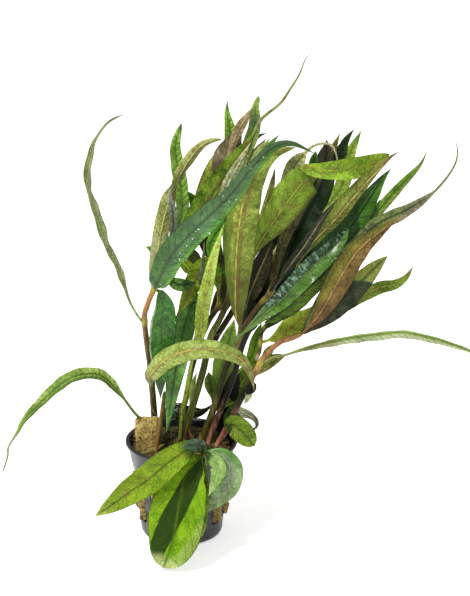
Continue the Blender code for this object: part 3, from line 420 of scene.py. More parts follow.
        (11.2, -5.6, -20), (12.3, -7.2, -24), (12.5, -11.5, -27.5), (10.8, -20, -30.8), (8, -31, -34.7),
        (4.5, -44, -38.5), (-0.5, -59, -42.5)
    ], under((150, 176, 78), (66, 92, 26), tip(0.7, (202, 214, 146), 0.7, 0.12)), tip=0.8),
    "leaf_front_right": leaf("stem_low_front", 13.5, 5, 0.5, [
        (10.5, -6, -24), (14, -5.8, -29), (20.5, -8.5, -32), (24.2, -14, -33.5), (23.2, -21.5, -34.3),
        (18.8, -28.5, -34), (13, -36.5, -33.3)
    ], top((146, 168, 116), (84, 120, 60), foot(0.34, (80, 140, 42), 0.85, 0.1),
        zone(1, 0, -0.35, 0.25, (158, 168, 146), 0.55, 0.12), gloss=0.7, wave=0.2, cup=0.15,
        midrib=(150, 170, 126), vein=(98, 130, 80))),
    "leaf_left_hanging": leaf("stem_left", 13, 2, 0.4, [
        (-14, 74.5, -9), (-10.5, 73, -7), (-8.5, 66, -7.5), (-9, 57, -8), (-10, 45, -8.5),
        (-10.5, 33, -8.5), (-10.5, 20, -8.5)
    ], top((66, 124, 36), (26, 68, 10), right(0.86, (168, 182, 142), 0.9, 0.04),
        tip(0.84, (56, 78, 50), 0.7), gloss=0.8, cup=0.12, midrib=(78, 112, 42))),
    "leaf_middle_hanging": leaf("stem_slim", 11, 6, 0.4, [
        (12, 57, 11), (10.5, 65, 9), (8, 68.5, 5), (5, 66.5, 2), (1.5, 57, 0), (-1.5, 42, -4),
        (-4.5, 24.5, -8), (-7.5, 2.5, -12)
    ], top((118, 164, 76), (60, 106, 38), foot(0.46, (74, 126, 52), 0.5),
        tip(0.7, (70, 112, 60), 0.5, 0.1), gloss=0.6, cup=0.15)),
    "leaf_olive_hanging": leaf("stem_slim", 10, 6, 0.5, [
        (19, 68, 12), (17.5, 80, 8), (14, 86, 3), (10.5, 85, 0), (6.5, 79, -1.5), (3, 71.5, -2),
        (-2.3, 61, -2.5)
    ], under((138, 164, 42), (76, 100, 14), midrib=(104, 94, 40))),
    "leaf_pale_upright": leaf("rock_wool", 7, 50, 0.4, [
        (-1, -1.5, 4), (0.5, 15.5, 2), (3, 27, 0), (5, 37.5, -1), (7.5, 47, -2), (9.5, 54.5, -3),
        (10.5, 64.5, -4.5), (12.5, 74.5, -6.5), (15.5, 88.5, -8.5), (19.5, 102, -9.5), (21.5, 108.5, -10)
    ], under((198, 226, 108), (144, 170, 48), right(0.3, (198, 234, 120), 0.5),
        foot(0.45, (170, 194, 74), 0.6, 0.1), midrib=(180, 172, 80))),
    "leaf_strip": leaf("stem_middle", 6, 8, 0.6, [
        (24.5, 82, 7), (19, 85, 2.5), (14.5, 91, 0), (14.5, 97.5, -2), (17.5, 103, -4.5),
        (22.5, 110, -6.5), (28.5, 119.5, -7.5), (33.5, 126.5, -8)
    ], top((110, 172, 56), (56, 108, 18))),
    "leaf_left_upper": leaf("stem_left", 8, 5, 0.4, [
        (-14, 74.5, -9), (-14.5, 78, -5), (-13, 88.5, 0), (-11, 99.5, 3), (-9, 109.5, 4), (-6.2, 119.5, 5),
        (-1.8, 130, 6), (3.3, 139, 7), (8.5, 145.5, 8), (13.5, 148.8, 8.5), (20.5, 150, 9)
    ], under((178, 184, 112), (114, 124, 52), right(0.2, (144, 140, 74), 0.6, 0.12),
        foot(0.3, (172, 174, 134), 0.6), wave=0.12, cup=-0.2, vein=(100, 82, 50)), tip=0.7,
        turn=[0, 0, 0, 0, 15, 66, 25, 0, 0]),
    "leaf_left_tall": leaf("stem_left", 7, 5, 0.5, [
        (-5.5, 94, 4), (-3.5, 101, 9), (0.3, 112, 13), (0, 124.5, 15), (-2, 137, 16), (-3, 147, 16),
        (0, 158, 15)
    ], top((150, 190, 84), (98, 138, 44), foot(0.4, (84, 114, 56), 0.6, 0.12), tip(0.94, (78, 68, 52)),
        wave=0.08, cup=0.2), tip=0.7),
    "leaf_upper_back": leaf("stem_slim", 8, 10, 0.55, [
        (21.5, 88, 15), (21.5, 107, 20), (23, 124.5, 21), (25, 142, 19), (24.2, 155, 17),
        (22.8, 163, 16.5), (23, 169.5, 16)
    ], top((152, 200, 76), (106, 152, 42), tip(0.95, (80, 66, 54)), wave=0.08, cup=0.2)),
    "leaf_grey_twist": leaf("stem_left", 13.5, 10, 0.6, [
        (-5.5, 94, 4), (-1, 101, 6.2), (5, 107, 6.8), (14, 116, 7.5), (19.5, 128, 8), (22.5, 140, 8),
        (25.5, 147.5, 8), (29, 155, 8), (32, 161, 8), (35.5, 165.5, 8)
    ], under((168, 156, 112), (86, 76, 50), tip(0.8, (158, 152, 98), 0.9),
        zone(1, 0.5, 0.75, 1.8, (34, 42, 30), 0.85), foot(0.6, (84, 64, 50), 0.7), gloss=0.9, wave=0.2),
        tip=4.0),
    "leaf_curled_tip": leaf("stem_slim", 6.5, 15, 0.65, [
        (21.5, 88, 15), (21.5, 111, 13), (26, 129.5, 13), (32.5, 144.5, 12), (36, 154, 8),
        (36.8, 161, 4.5), (37, 166, 3), (38.7, 171.5, 2.5)
    ], top((190, 220, 120), (134, 170, 72), zone(0, 1, 0.76, 0.88, (122, 154, 116), 0.8),
        tip(0.97, (84, 78, 44)), wave=0.1, cup=0.3), tip=0.55),
    "leaf_long_tail": leaf("stem_left", 12, 6, 0.45, [
        (-6.5, 91.5, 2.5), (-2, 97.5, 1.2), (5.5, 109.5, 2), (11, 117, 2), (20, 129.5, 0), (28, 140.5, -2),
        (35, 150.5, -4), (38.5, 157.5, -5), (41.5, 161.5, -5), (49.5, 168, -4.5), (55, 176, -4),
        (59, 182.5, -3), (62, 190, -2), (65, 192.5, -1)
    ], under((124, 158, 42), (50, 76, 10), right(0.3, (76, 80, 34), 0.75, 0.1),
        tip(0.6, (144, 160, 104), 0.85), midrib=(98, 84, 44), vein=(42, 60, 14)), tail=48),
    "leaf_purple_edge": leaf("stem_left", 11, 12, 0.5, [
        (-8.5, 86, -2), (-1, 92, 4), (6, 105, 9), (11, 117, 12), (14.2, 129, 13), (17.5, 139, 13.5),
        (21.5, 146.5, 13.5)
    ], under((182, 198, 84), (130, 148, 50), left(-0.8, (118, 86, 54), 0.7), wave=0.1), tip=0.8),
    "leaf_dark_back": leaf("stem_tall", 13.5, 5, 0.55, [
        (41, 69, 4.5), (44, 77, 9), (50, 89, 12.5), (57, 102, 13.5), (65, 117, 12.5), (70.8, 129.5, 11),
        (72.2, 140, 10), (72.6, 149.5, 9)
    ], top((50, 78, 38), (10, 24, 10), tip(0.76, (70, 62, 44), 0.85), gloss=0.6), tip=0.75),
    "leaf_glossy_arch": leaf("stem_tall", 8.5, 12, 0.8, [
        (51.5, 90.5, 8.5), (50, 101, 10), (49.5, 112, 10.5), (50, 121, 9.5), (52.8, 129, 8),
        (56.5, 136.2, 6.5), (61, 142, 5), (65.5, 146.3, 4), (70.8, 147.8, 3), (74.8, 147, 2),
        (77.2, 143, 1), (78.3, 136, 0)
    ], top((208, 212, 142), (140, 146, 70), tip(0.72, (182, 174, 142), 0.85),
        left(-0.7, (212, 206, 146), 0.7), gloss=1.0, cup=0.35), tip=0.8, tail=27),
    "leaf_narrow_point": leaf("stem_middle_branch", 4.5, 10, 0.5, [
        (32.5, 83, 12), (36.5, 97, 12), (40.5, 109.5, 12), (43.5, 119.5, 12), (45.5, 128.5, 12),
        (47, 136.5, 12)
    ], top((214, 216, 130), (150, 152, 60), tip(0.8, (104, 86, 46)))),
    "leaf_olive_back": leaf("stem_middle_branch", 7.5, 20, 0.55, [
        (31, 78, 12), (40, 86, 16.5), (54, 100, 18.5), (62, 112, 19), (68.5, 127, 18), (74.5, 142, 16.5),
        (79.5, 153.5, 15)
    ], under((128, 136, 66), (60, 66, 28), tip(0.92, (150, 168, 60)))),
    "leaf_green_back": leaf("stem_middle_branch", 7.5, 25, 0.6, [
        (32.5, 83, 12), (40, 90, 19), (52, 100, 22), (65, 110, 24), (77.5, 122, 25), (82, 132, 24),
        (84.5, 143, 23), (90, 154.5, 21)
    ], top((186, 214, 92), (130, 162, 54), tip(0.9, (76, 126, 34)))),
    "leaf_glossy_point": leaf("stem_tall", 5, 6, 0.5, [
        (45, 74.5, 5), (49.5, 80.5, -1), (55.5, 88.5, -6), (62.5, 98, -9.5), (68.5, 107.5, -11),
        (74, 115, -11.5), (79, 121, -12)
    ], top((38, 42, 22), (10, 12, 6), gloss=0.6, midrib=(138, 132, 84))),
    "leaf_below_node": leaf("stem_red_outer", 6.5, 2, 0.5, [
        (34.5, 28.5, -5), (38, 33.5, -2.5), (43, 38, -1.5), (48, 40.5, -1.5), (52.5, 42, -1.5)
    ], under((130, 146, 68), (66, 84, 32), right(0.6, (142, 122, 72)), wave=0.15)),
    "leaf_behind_stems": leaf("stem_tall", 11, 3, 0.5, [
        (16, 17, 5), (18, 22.5, 11), (20.5, 34.5, 14), (23.5, 48.5, 15), (26.5, 60, 15)
    ], top((164, 200, 88), (112, 152, 46))),
    "leaf_pale_tan": leaf("stem_middle", 6, 10, 0.6, [
        (25.5, 92, 8), (21.5, 103, 2), (20.5, 115, -4), (23.5, 127.5, -7), (29.5, 139, -8), (35, 149, -8)
    ], under((204, 212, 168), (112, 122, 66), tip(0.86, (176, 176, 122), 0.7))),
    "leaf_low_olive": leaf("stem_red_inner", 11, 2, 0.5, [
        (19.5, 14.5, 2.5), (24.5, 20.5, 10), (29.5, 27, 12), (34, 34, 12), (38, 40, 12)
    ], under((118, 144, 42), (60, 82, 20))),
    "leaf_low_dark": leaf("rock_wool", 8, 2, 0.5, [
        (21, 0, 6), (24, 7.5, 6.5), (26.5, 14.5, 7), (28.5, 20, 7)
    ], top((70, 104, 40), (30, 50, 16), gloss=0.4)),
}

# Small leaves that only the looks have.
SMALL_LEAVES = {
    "grey_edge": leaf("stem_slim", 2.6, 3, 0.6, [
        (12, 56, 11), (10, 66, 4), (9.8, 78, -2), (10.8, 90, -6), (11.5, 99, -8)
    ], under((116, 128, 100), (44, 62, 38)), turn=[30, 40]),
    "silver_left": leaf("stem_left", 5, 3, 0.5, [
        (-7.5, 88, 0), (-4.5, 100, -3), (-4.2, 112, -6), (-6, 122, -7), (-3.5, 127, -7)
    ], top((150, 160, 132), (58, 74, 48), gloss=0.8), turn=[0, 30, 0]),
    "left_gap": leaf("stem_middle", 11, 2, 0.5, [
        (24.5, 82, 7), (19, 88, 9), (15, 96, 10), (13, 106, 11), (14, 117, 11)
    ], under((72, 86, 34), (34, 46, 16))),
    "dark_strip": leaf("stem_tall", 12, 1, 0.4, [
        (45, 74.5, 5), (50, 78, 7), (57, 85, 7.5), (65, 94.5, 7), (75, 107, 6)
    ], top((48, 78, 36), (18, 38, 14), gloss=0.3)),
    "stem_gap": leaf("stem_slim", 9, 2, 0.5, [
        (14, 59, 11), (16, 64, 14), (20, 70, 15), (24, 78, 15), (27, 88, 15)
    ], under((92, 84, 42), (38, 38, 16))),
    "under_low": leaf("stem_side_shoot", 9, 1, 0.5, [
        (41, 54, -6), (45, 59, -2), (51, 65, -2), (59, 71, -3), (67, 77, -4)
    ], top((62, 84, 34), (24, 40, 14))),
    "rim_dark_left": leaf("rock_wool", 8, 1, 0.4, [
        (-9.5, 9, 11), (-4, 13, 15), (2, 13.5, 18), (9, 13.5, 19), (15, 16, 17)
    ], top((64, 76, 42), (18, 24, 12), gloss=0.9), turn=[40, 20, 40]),
    "foot_dark": leaf("rock_wool", 8, 1, 0.5, [
        (-6.5, 3, 5), (-7, 9, 6), (-4.5, 14.5, 8), (0, 18, 9)
    ], top((52, 66, 32), (16, 24, 12), gloss=0.7), turn=[10, -20]),
    "low_right": leaf("stem_red_outer", 8, 1, 0.5, [
        (26, 13.5, -3), (24.5, 12.5, 2), (25.5, 8, -4), (28, 3, -6.5), (29, -1, -7.5)
    ], top((66, 94, 38), (28, 48, 18))),
    # A near-black blade behind the stems, standing in for the shade there: painted shade.
    "stem_shadow": leaf("rock_wool", 9, 1, 0.5, [
        (18.5, -1, 7), (20, 8, 9), (22.5, 17, 9.5), (25.5, 27, 10), (28.5, 38, 10)
    ], top((34, 44, 24), (14, 20, 10))),
    # A near-black curl at the front arch's end: painted shade under the arch's tip.
    "arch_curl": leaf("stem_red_outer", 5, 1, 0.45, [
        (34.2, 29.5, -5), (35.2, 27, -9.5), (34.6, 24.6, -9.5), (32, 22.4, -8.5)
    ], top((40, 40, 30), (20, 20, 16))),
    "arch_tip": leaf("stem_red_outer", 3.2, 1, 0.5, [
        (31.5, 23, -4.3), (34, 22.6, -8), (33.3, 20.6, -8), (31.4, 17.6, -7.5)
    ], under((204, 216, 166), (164, 180, 122))),
    "tan_tip": leaf("stem_middle", 5, 40, 0.7, [
        (25.5, 92, 8), (23.5, 110, 8), (23, 130, 6), (25, 145, 4), (28.5, 154.5, 2), (32.5, 161, 1),
        (35.2, 165.5, 1)
    ], under((176, 158, 118), (126, 110, 74), tip(0.93, (150, 140, 96)))),
    "rim_dark_right": leaf("rock_wool", 5, 1, 0.5, [
        (16, 9, 13), (20, 12.5, 13), (25, 13.2, 12), (30, 10.5, 11)
    ], top((58, 72, 36), (18, 26, 12), gloss=0.9), turn=[20, 40, 20]),
    "front_knot": leaf("stem_low_front", 7, 4, 0.5, [
        (11, -6, -22), (10, -3.8, -31), (5, -2.8, -36.5), (0, -4.6, -39)
    ], top((76, 112, 76), (24, 42, 24), gloss=1.0), turn=[0, 0, -10]),
    "tip_green": leaf("stem_slim", 5, 20, 0.6, [
        (21.5, 88, 15), (26, 105, 14), (32, 125, 10), (38, 140, 4), (44, 147, 2), (49.2, 152.5, 0)
    ], top((96, 146, 62), (66, 110, 44))),
    "tip_pale": leaf("stem_middle", 3.5, 20, 0.7, [
        (25.5, 92, 8), (30, 118, 5), (37, 141, 3), (44.5, 150.5, 2)
    ], under((176, 194, 116), (132, 150, 80))),
    "tip_olive": leaf("stem_middle", 3, 20, 0.7, [
        (25.5, 92, 8), (29, 118, 7), (35, 140, 6), (42.5, 150.5, 5)
    ], under((116, 120, 62), (76, 80, 40))),
    "tip_dark": leaf("stem_slim", 2.4, 20, 0.8, [
        (21.5, 88, 15), (26, 120, 16), (33, 145, 12), (38, 151, 10), (42.5, 153, 8)
    ], top((84, 104, 62), (44, 60, 34))),
    "tip_left": leaf("stem_left", 4, 3, 0.6, [
        (-8.5, 86, -2), (-12, 91, 3), (-15, 95, 5), (-18, 96, 5)
    ], top((112, 158, 48), (80, 120, 34))),
    "behind_tall": leaf("stem_left", 6, 5, 0.6, [
        (-5.5, 94, 4), (5, 108, 15), (7, 116, 17), (4.5, 121.5, 18), (0, 124, 18.5)
    ], top((110, 152, 42), (76, 112, 28))),
    "dark_tip_right": leaf("stem_middle_branch", 5.5, 30, 0.7, [
        (32.5, 83, 12), (50, 108, 15.5), (66, 128, 15), (78.5, 141, 13.5), (82, 149, 13), (86.3, 155, 13)
    ], top((56, 80, 36), (24, 44, 18))),
    "folded_strip": leaf("stem_tall", 4.6, 40, 0.8, [
        (45, 74.5, 5), (50, 90, 9), (56, 108, 11), (61, 124, 10), (64.8, 133.5, 9), (67.2, 144, 7)
    ], top((78, 118, 44), (38, 66, 22))),
    "dark_behind": leaf("stem_tall", 6.5, 40, 0.8, [
        (45, 74.5, 5), (52, 92, 10), (60, 112, 13), (67, 130, 13), (70, 138, 13), (73.5, 148, 12)
    ], under((62, 60, 42), (32, 32, 22), midrib=(84, 80, 60))),
    "olive_behind_right": leaf("stem_middle_branch", 7.5, 30, 0.75, [
        (32.5, 83, 12), (50, 105, 17), (66, 121, 18), (75, 132, 18), (79, 141, 17), (82.5, 151, 16)
    ], under((140, 148, 62), (92, 100, 38))),
    "striped_back": leaf("stem_tall", 6.5, 6, 0.5, [
        (45, 74.5, 5), (47, 84, 7.5), (50, 96, 7), (56, 110, 5.5), (63, 121, 4.5), (69, 129, 4),
        (71.5, 133, 4)
    ], under((98, 92, 60), (62, 58, 38), midrib=(116, 112, 58))),
    "low_upright": leaf("stem_tall", 6, 1, 0.6, [
        (16, 17, 5), (15, 24, 8), (14, 30, 9), (13.5, 33.5, 9)
    ], top((128, 158, 60), (84, 110, 34))),
    "low_pale": leaf("stem_middle", 2.6, 2, 0.5, [
        (5, 14.5, 4.7), (5, 24, 8), (6.5, 30, 9), (7.8, 33.5, 9)
    ], under((160, 176, 92), (112, 132, 52))),
    "between_stems": leaf("stem_red_inner", 6, 2, 0.6, [
        (26.5, 32.5, 1), (33, 38, 9), (36, 44, 10), (38, 52, 10), (40, 58, 10)
    ], top((124, 164, 38), (84, 124, 22))),
    "above_node": leaf("stem_red_outer", 4.5, 1, 0.5, [
        (39.5, 38.5, -7), (43, 43, -3), (46.6, 47.6, -3)
    ], top((128, 156, 62), (88, 112, 38))),
    "crossing": leaf("stem_left", 6.5, 2, 0.5, [
        (-9.5, 84, -3), (-5, 79, -3.5), (0, 77, -3.8), (7.3, 78, -3.5)
    ], top((52, 84, 36), (20, 36, 16), zone(0, 1, 0.3, 0.6, (96, 140, 52)))),
    "bright_gap": leaf("stem_left", 6, 3, 0.6, [
        (-5.5, 94, 4), (0, 89, 3), (3, 86, 2.5), (6, 82, 2.5)
    ], under((148, 180, 46), (108, 136, 30))),
    "olive_gap": leaf("stem_left", 6.5, 3, 0.5, [
        (-5.5, 94, 4), (1, 94, 5), (6, 91, 4.5), (9.5, 84.5, 4)
    ], under((84, 88, 40), (46, 52, 22))),
    "brown_gap": leaf("stem_tall", 11, 3, 0.55, [
        (31.5, 56, 3), (32, 64, 6), (34, 72, 6.5), (38, 82, 6.5), (42, 91, 6), (45.5, 99, 6)
    ], under((80, 76, 46), (38, 34, 26), left(-0.1, (40, 34, 34), 0.85), foot(0.3, (24, 32, 20)),
        tip(0.8, (34, 36, 26)), midrib=(138, 128, 84))),
    "black_gap": leaf("stem_tall", 18, 2, 0.4, [
        (37, 64, 4), (40, 74, 9), (45, 86, 11.5), (52, 100, 12), (58, 110, 12)
    ], top((38, 48, 36), (18, 26, 18))),
    "low_gap": leaf("stem_red_inner", 10, 2, 0.5, [
        (31.5, 49.5, -1), (34, 58, 7), (37, 68, 8.5), (39, 77, 9)
    ], top((44, 66, 26), (22, 38, 14))),
    "olive_behind": leaf("stem_middle", 8, 2, 0.5, [
        (19, 59.5, 5), (22, 66, 9), (24, 76, 10), (23.5, 88, 10), (22, 98, 9)
    ], under((66, 76, 28), (36, 40, 18))),
    "front_twist": leaf("stem_low_front", 9, 2, 0.4, [
        (11, -6, -22), (15, -9.5, -30), (18.5, -14, -36), (17, -21, -38.5), (13.5, -28.5, -42)
    ], top((156, 184, 108), (92, 130, 52), foot(0.2, (52, 92, 50)), midrib=(168, 190, 128),
        vein=(110, 146, 66)), turn=[0, 40, 15, 30]),
    "rim_sheath": leaf("rock_wool", 2.6, 1, 0.5, [
        (-20.5, -7.5, -11), (-14.5, -5.8, -11.5), (-8.5, -2.5, -9)
    ], under((150, 142, 76), (96, 94, 44)), turn=[0, 20, 0]),
    "rim_sheath_right": leaf("rock_wool", 2.6, 1, 0.5, [
        (12, -5, -8), (17, -6, -8.5), (21.5, -4, -7)
    ], under((116, 114, 58), (62, 66, 32)), turn=[0, 20, 0]),
}


def on_drawing(across, up, back):
    """The place in space, in millimetres, of a point on the drawing."""
    back *= 1 + SPREAD * min(max(up / SPREAD_HEIGHT, 0.0), 1.0)
    rim_middle = Vector((0, 0, POT_HEIGHT))
    middle_across, middle_up = DRAWING_MIDDLE
    height = POT_HEIGHT + middle_up / math.cos(VIEW_TILT)
    eye = Vector((middle_across, 0, height)) + TO_VIEWER * VIEW_DISTANCE
    sight = Vector((across - middle_across, 0, 0)) + UP_ON_DRAWING * (up - middle_up)
    sight -= TO_VIEWER * (eye - rim_middle).dot(TO_VIEWER)
    return eye + sight * (back - eye.y) / sight.y


def curve_through(points, step):
    """Even points, about a step apart, on one smooth curve through the given ones, and its length."""
    chords = sum((b - a).length for a, b in zip(points, points[1:]))
    count = max(FEWEST_POINTS, round(chords / step))
    ends = [points[0] * 2 - points[1], *points, points[-1] * 2 - points[-2]]
    fine = []
    for a, b, c, d in zip(ends, ends[1:], ends[2:], ends[3:]):
        for part in range(CURVE_PARTS):
            t = part / CURVE_PARTS
            bent = 2 * b + (c - a) * t + (2 * a - 5 * b + 4 * c - d) * t**2
            fine.append(0.5 * (bent + (3 * b - a - 3 * c + d) * t**3))
    fine.append(points[-1].copy())
    travelled = [0.0]
    for a, b in zip(fine, fine[1:]):
        travelled.append(travelled[-1] + (b - a).length)
    even = []
    at = 0
    for i in range(count):
        want = travelled[-1] * i / (count - 1)
        while at < len(fine) - 2 and travelled[at + 1] < want:
            at += 1
        share = (want - travelled[at]) / max(travelled[at + 1] - travelled[at], 1e-6)
        even.append(fine[at].lerp(fine[at + 1], min(max(share, 0.0), 1.0)))
    return even, travelled[-1]


def directions(line):
    """The unit direction of a line at each of its points."""
    last = len(line) - 1
    return [(line[min(i + 1, last)] - line[max(i - 1, 0)]).normalized() for i in range(len(line))]


def nearest_index(line, point):
    return min(range(len(line)), key=lambda i: (line[i] - point).length)


def beside(point, heading, axis, reach):
    """Moves a first point out of the stem it grows on, square to the stem, by reach."""
    nearest = nearest_index(axis, point)
    along = directions(axis)[nearest]
    out = heading - along * heading.dot(along)
    if nearest == len(axis) - 1 and out.length < 0.6 * heading.length:
        out = heading
    return axis[nearest] + out.normalized() * reach


def between(values, share):
    """The value at a share of the way along an evenly spaced list."""
    at = share * (len(values) - 1)
    low = min(int(at), len(values) - 2)
    return values[low] + (values[low + 1] - values[low]) * (at - low)


def smooth(value, low, high):
    """0 below low and 1 above high, with a soft step between them."""
    t = min(max((value - low) / (high - low), 0.0), 1.0)
    return t * t * (3 - 2 * t)


def around(radius, angle, height=0.0):
    """A point at a radius and angle about the pot's axis."""
    return Vector((radius * math.cos(angle), radius * math.sin(angle), height))


def turns(count):
    """Even angles of one whole turn."""
    return [2 * math.pi * i / count for i in range(count)]


def ring(centre, along, side, radii):
    """One ring of points about a line, at the given radii."""
    other = along.cross(side)
    points = []
    for angle, radius in zip(turns(len(radii)), radii):
        points.append(centre + side * radius * math.cos(angle) + other * radius * math.sin(angle))
    return points


def ring_faces(rings, sides):
    """The faces between rings of points that are listed ring by ring."""
    faces = []
    for low in range(0, (rings - 1) * sides, sides):
        for i in range(sides):
            a, b = low + i, low + (i + 1) % sides
            faces.append((a, b, b + sides, a + sides))
    return faces


def tube_faces(rings, sides):
    """The faces of a closed tube."""
    first_cap = tuple(range(sides - 1, -1, -1))
    last_cap = tuple(range((rings - 1) * sides, rings * sides))
    return [*ring_faces(rings, sides), first_cap, last_cap]


# Shader graphs


def paint(colour):
    """A colour as a screen shows it, from 0 to 255 each, as the linear colour that a shader takes."""
    linear = []
    for value in colour:
        share = value / 255
        linear.append(share / 12.92 if share <= 0.04045 else ((share + 0.055) / 1.055) ** 2.4)
    return (*linear, 1.0)


def tinted(colour, share):
    """A darker or lighter kin of a screen colour."""
    return [min(value * share, 255) for value in colour]


class Graph:
    """A node material with one Principled shader, and short calls that add nodes to it.

    surface is the colour so far. A colour is a socket, a screen colour of three values or a linear one
    of four.
    """

    def __init__(self, name, roughness, **settings):
        self.material = bpy.data.materials.new(name)
        self.material.use_nodes = True
        self.tree = self.material.node_tree
        self.shader = self.tree.nodes["Principled BSDF"]
        self.where = self.add("TexCoord").outputs["Object"]
        self.surface = None
        self.set(Roughness=roughness, **settings)

    def set(self, **settings):
        for name, value in settings.items():
            self.shader.inputs[name.replace("_", " ")].default_value = value

    def add(self, kind, **inputs):
        node = self.tree.nodes.new("ShaderNode" + kind)
        for name, value in inputs.items():
            self.feed(node.inputs[name.replace("_", " ")], value)
        return node

    def feed(self, socket, value):
        if isinstance(value, bpy.types.NodeSocket):
            self.tree.links.new(value, socket)
        else:
            socket.default_value = value

    def math(self, operation, *values):
        node = self.add("Math")
        node.operation = operation
        for socket, value in zip(node.inputs, values):
            self.feed(socket, value)
        return node.outputs[0]

    def times(self, first, second):
        return self.math("MULTIPLY", first, second)

    def times_plus(self, first, second, added):
        return self.math("MULTIPLY_ADD", first, second, added)

    def step(self, value, low, high, out_low=0.0, out_high=1.0):
        """A soft step in value, from out_low at low to out_high at high."""
        node = self.add("MapRange", Value=value, From_Min=low, From_Max=high, To_Min=out_low, To_Max=out_high)
        node.interpolation_type = "SMOOTHSTEP"
        return node.outputs["Result"]

    def below(self, value, low, high):
        """1 below low and 0 above high."""
        return self.step(value, low, high, 1.0, 0.0)

    def noise(self, scale, detail=3.0, vector=None):
        vector = self.where if vector is None else vector
        return self.add("TexNoise", Vector=vector, Scale=scale, Detail=detail).outputs["Fac"]

    def spots(self, scale, detail, low, high, out_low=0.0, out_high=1.0):
        """Noise of a scale and detail, with a soft step between low and high."""
        return self.step(self.noise(scale, detail), low, high, out_low, out_high)

    def split(self, vector):
        return self.add("SeparateXYZ", Vector=vector).outputs

    def attribute(self, name):
        node = self.add("Attribute")
        node.attribute_name = name
        return self.split(node.outputs["Vector"])

    def moved(self, operation, vector, *others):
        """A vector changed by a vector operation."""
        node = self.add("VectorMath")
        node.operation = operation
        for socket, value in zip(node.inputs, (vector, *others)):
            self.feed(socket, value)
        return node.outputs[0]

    def cells(self, vector, feature):
        node = self.add("TexVoronoi", Vector=vector, Scale=NET_SCALE)
        node.feature = feature
        node.voronoi_dimensions = "2D"
        return node.outputs

    def mix(self, share, first, second):
        node = self.add("Mix")
        node.data_type = "RGBA"
        self.feed(node.inputs["Factor"], share)
        for socket, colour in ((node.inputs[6], first), (node.inputs[7], second)):
            screen = not isinstance(colour, bpy.types.NodeSocket) and len(colour) == 3
            self.feed(socket, paint(colour) if screen else colour)
        return node.outputs[2]

    def cover(self, share, colour, strength=1.0):
        """Lays a colour over the surface where share says."""
        if strength != 1.0:
            share = self.times(share, strength)
        self.surface = self.mix(share, self.surface, colour)

    def finish(self, roughness=None, relief=None, height=0.0, strength=1.0):
        """Joins the surface, a roughness that varies and a relief of a height in metres to the shader."""
        self.feed(self.shader.inputs["Base Color"], self.surface)
        if roughness is not None:
            self.feed(self.shader.inputs["Roughness"], roughness)
        if relief is not None:
            bump = self.add("Bump", Height=relief, Distance=height, Strength=strength)
            self.feed(self.shader.inputs["Normal"], bump.outputs["Normal"])
        return self.material


def paint_mottle(graph, on_blade, light, dark):
    """Two greens mixed by cells, clouds and grain, with lighter patches that are a painted sheen."""
    cell_tone = graph.times(graph.step(graph.cells(on_blade, "F1")["Color"], 0.2, 0.8), 0.2)
    clouds = graph.spots(105.0, 5.0, 0.4, 0.6, 0.0, 0.5)
    grain = graph.spots(340.0, 4.0, 0.4, 0.6)
    tone = graph.times_plus(grain, 0.3, graph.math("ADD", clouds, cell_tone))
    graph.surface = graph.mix(tone, dark, light)
    # Lighter patches: a painted sheen.
    graph.cover(graph.spots(38.0, 2.0, 0.45, 0.7), tinted(light, 1.12), 0.3)


def paint_zones(graph, blade, zones):
    """Zones of a blade, each with a wandering edge and a tone that varies a little."""
    wobble = graph.times_plus(graph.noise(170.0), 0.16, -0.08)
    for by_width, by_length, start, end, tint, strength, soft in zones:
        value = graph.times_plus(blade[0], by_width, graph.times(blade[1], by_length))
        value = graph.math("ADD", value, graph.times(wobble, min(soft * 12, 1.0)))
        inside = graph.step(value, start - soft, start + soft)
        inside = graph.times(inside, graph.below(value, end - soft, end + soft))
        graph.cover(inside, graph.mix(graph.spots(140.0, 4.0, 0.35, 0.65), tinted(tint, 0.8), tint), strength)


def paint_crinkle_shading(graph, blade, on_blade, look, relief):
    """Wet folds on the left half of a blade: painted highlights on crests, painted shade in dips, and their
    relief.
    """
    slanted = graph.add("Mapping", Vector=on_blade, Rotation=(0, 0, 0.6), Scale=(0.34, 0.62, 1.0))
    folds = graph.noise(1.0, 4.0, slanted.outputs[0])
    crinkled = graph.times(graph.below(blade[0], -0.02, 0.06), graph.step(blade[1], 0.2, 0.4))
    # Painted highlights on the crests of the folds and painted shade in their dips.
    graph.cover(graph.times(graph.step(folds, 0.5, 0.6), crinkled), CREST_HIGHLIGHT, look["crinkle"])
    graph.cover(graph.times(graph.below(folds, 0.36, 0.46), crinkled), tinted(look["dark"], 0.7), 0.8)
    return graph.times_plus(graph.times(folds, crinkled), 5.0, relief)


def side_vein_distance(graph, across, along, spacing):
    """Millimetres from a point to the nearest side vein. Veins leave the midrib and curve to the tip."""
    reach = graph.math("ABSOLUTE", across)
    climb = graph.times(reach, graph.times_plus(reach, 0.06, 0.7))
    side = graph.times(graph.math("GREATER_THAN", across, 0.0), 0.45)
    wander = graph.times(graph.noise(130.0, 2.0), 1.3)
    count = graph.math("DIVIDE", graph.math("SUBTRACT", along, climb), spacing)
    count = graph.math("ADD", graph.math("ADD", count, side), wander)
    return graph.times(graph.math("PINGPONG", count, 0.5), spacing)


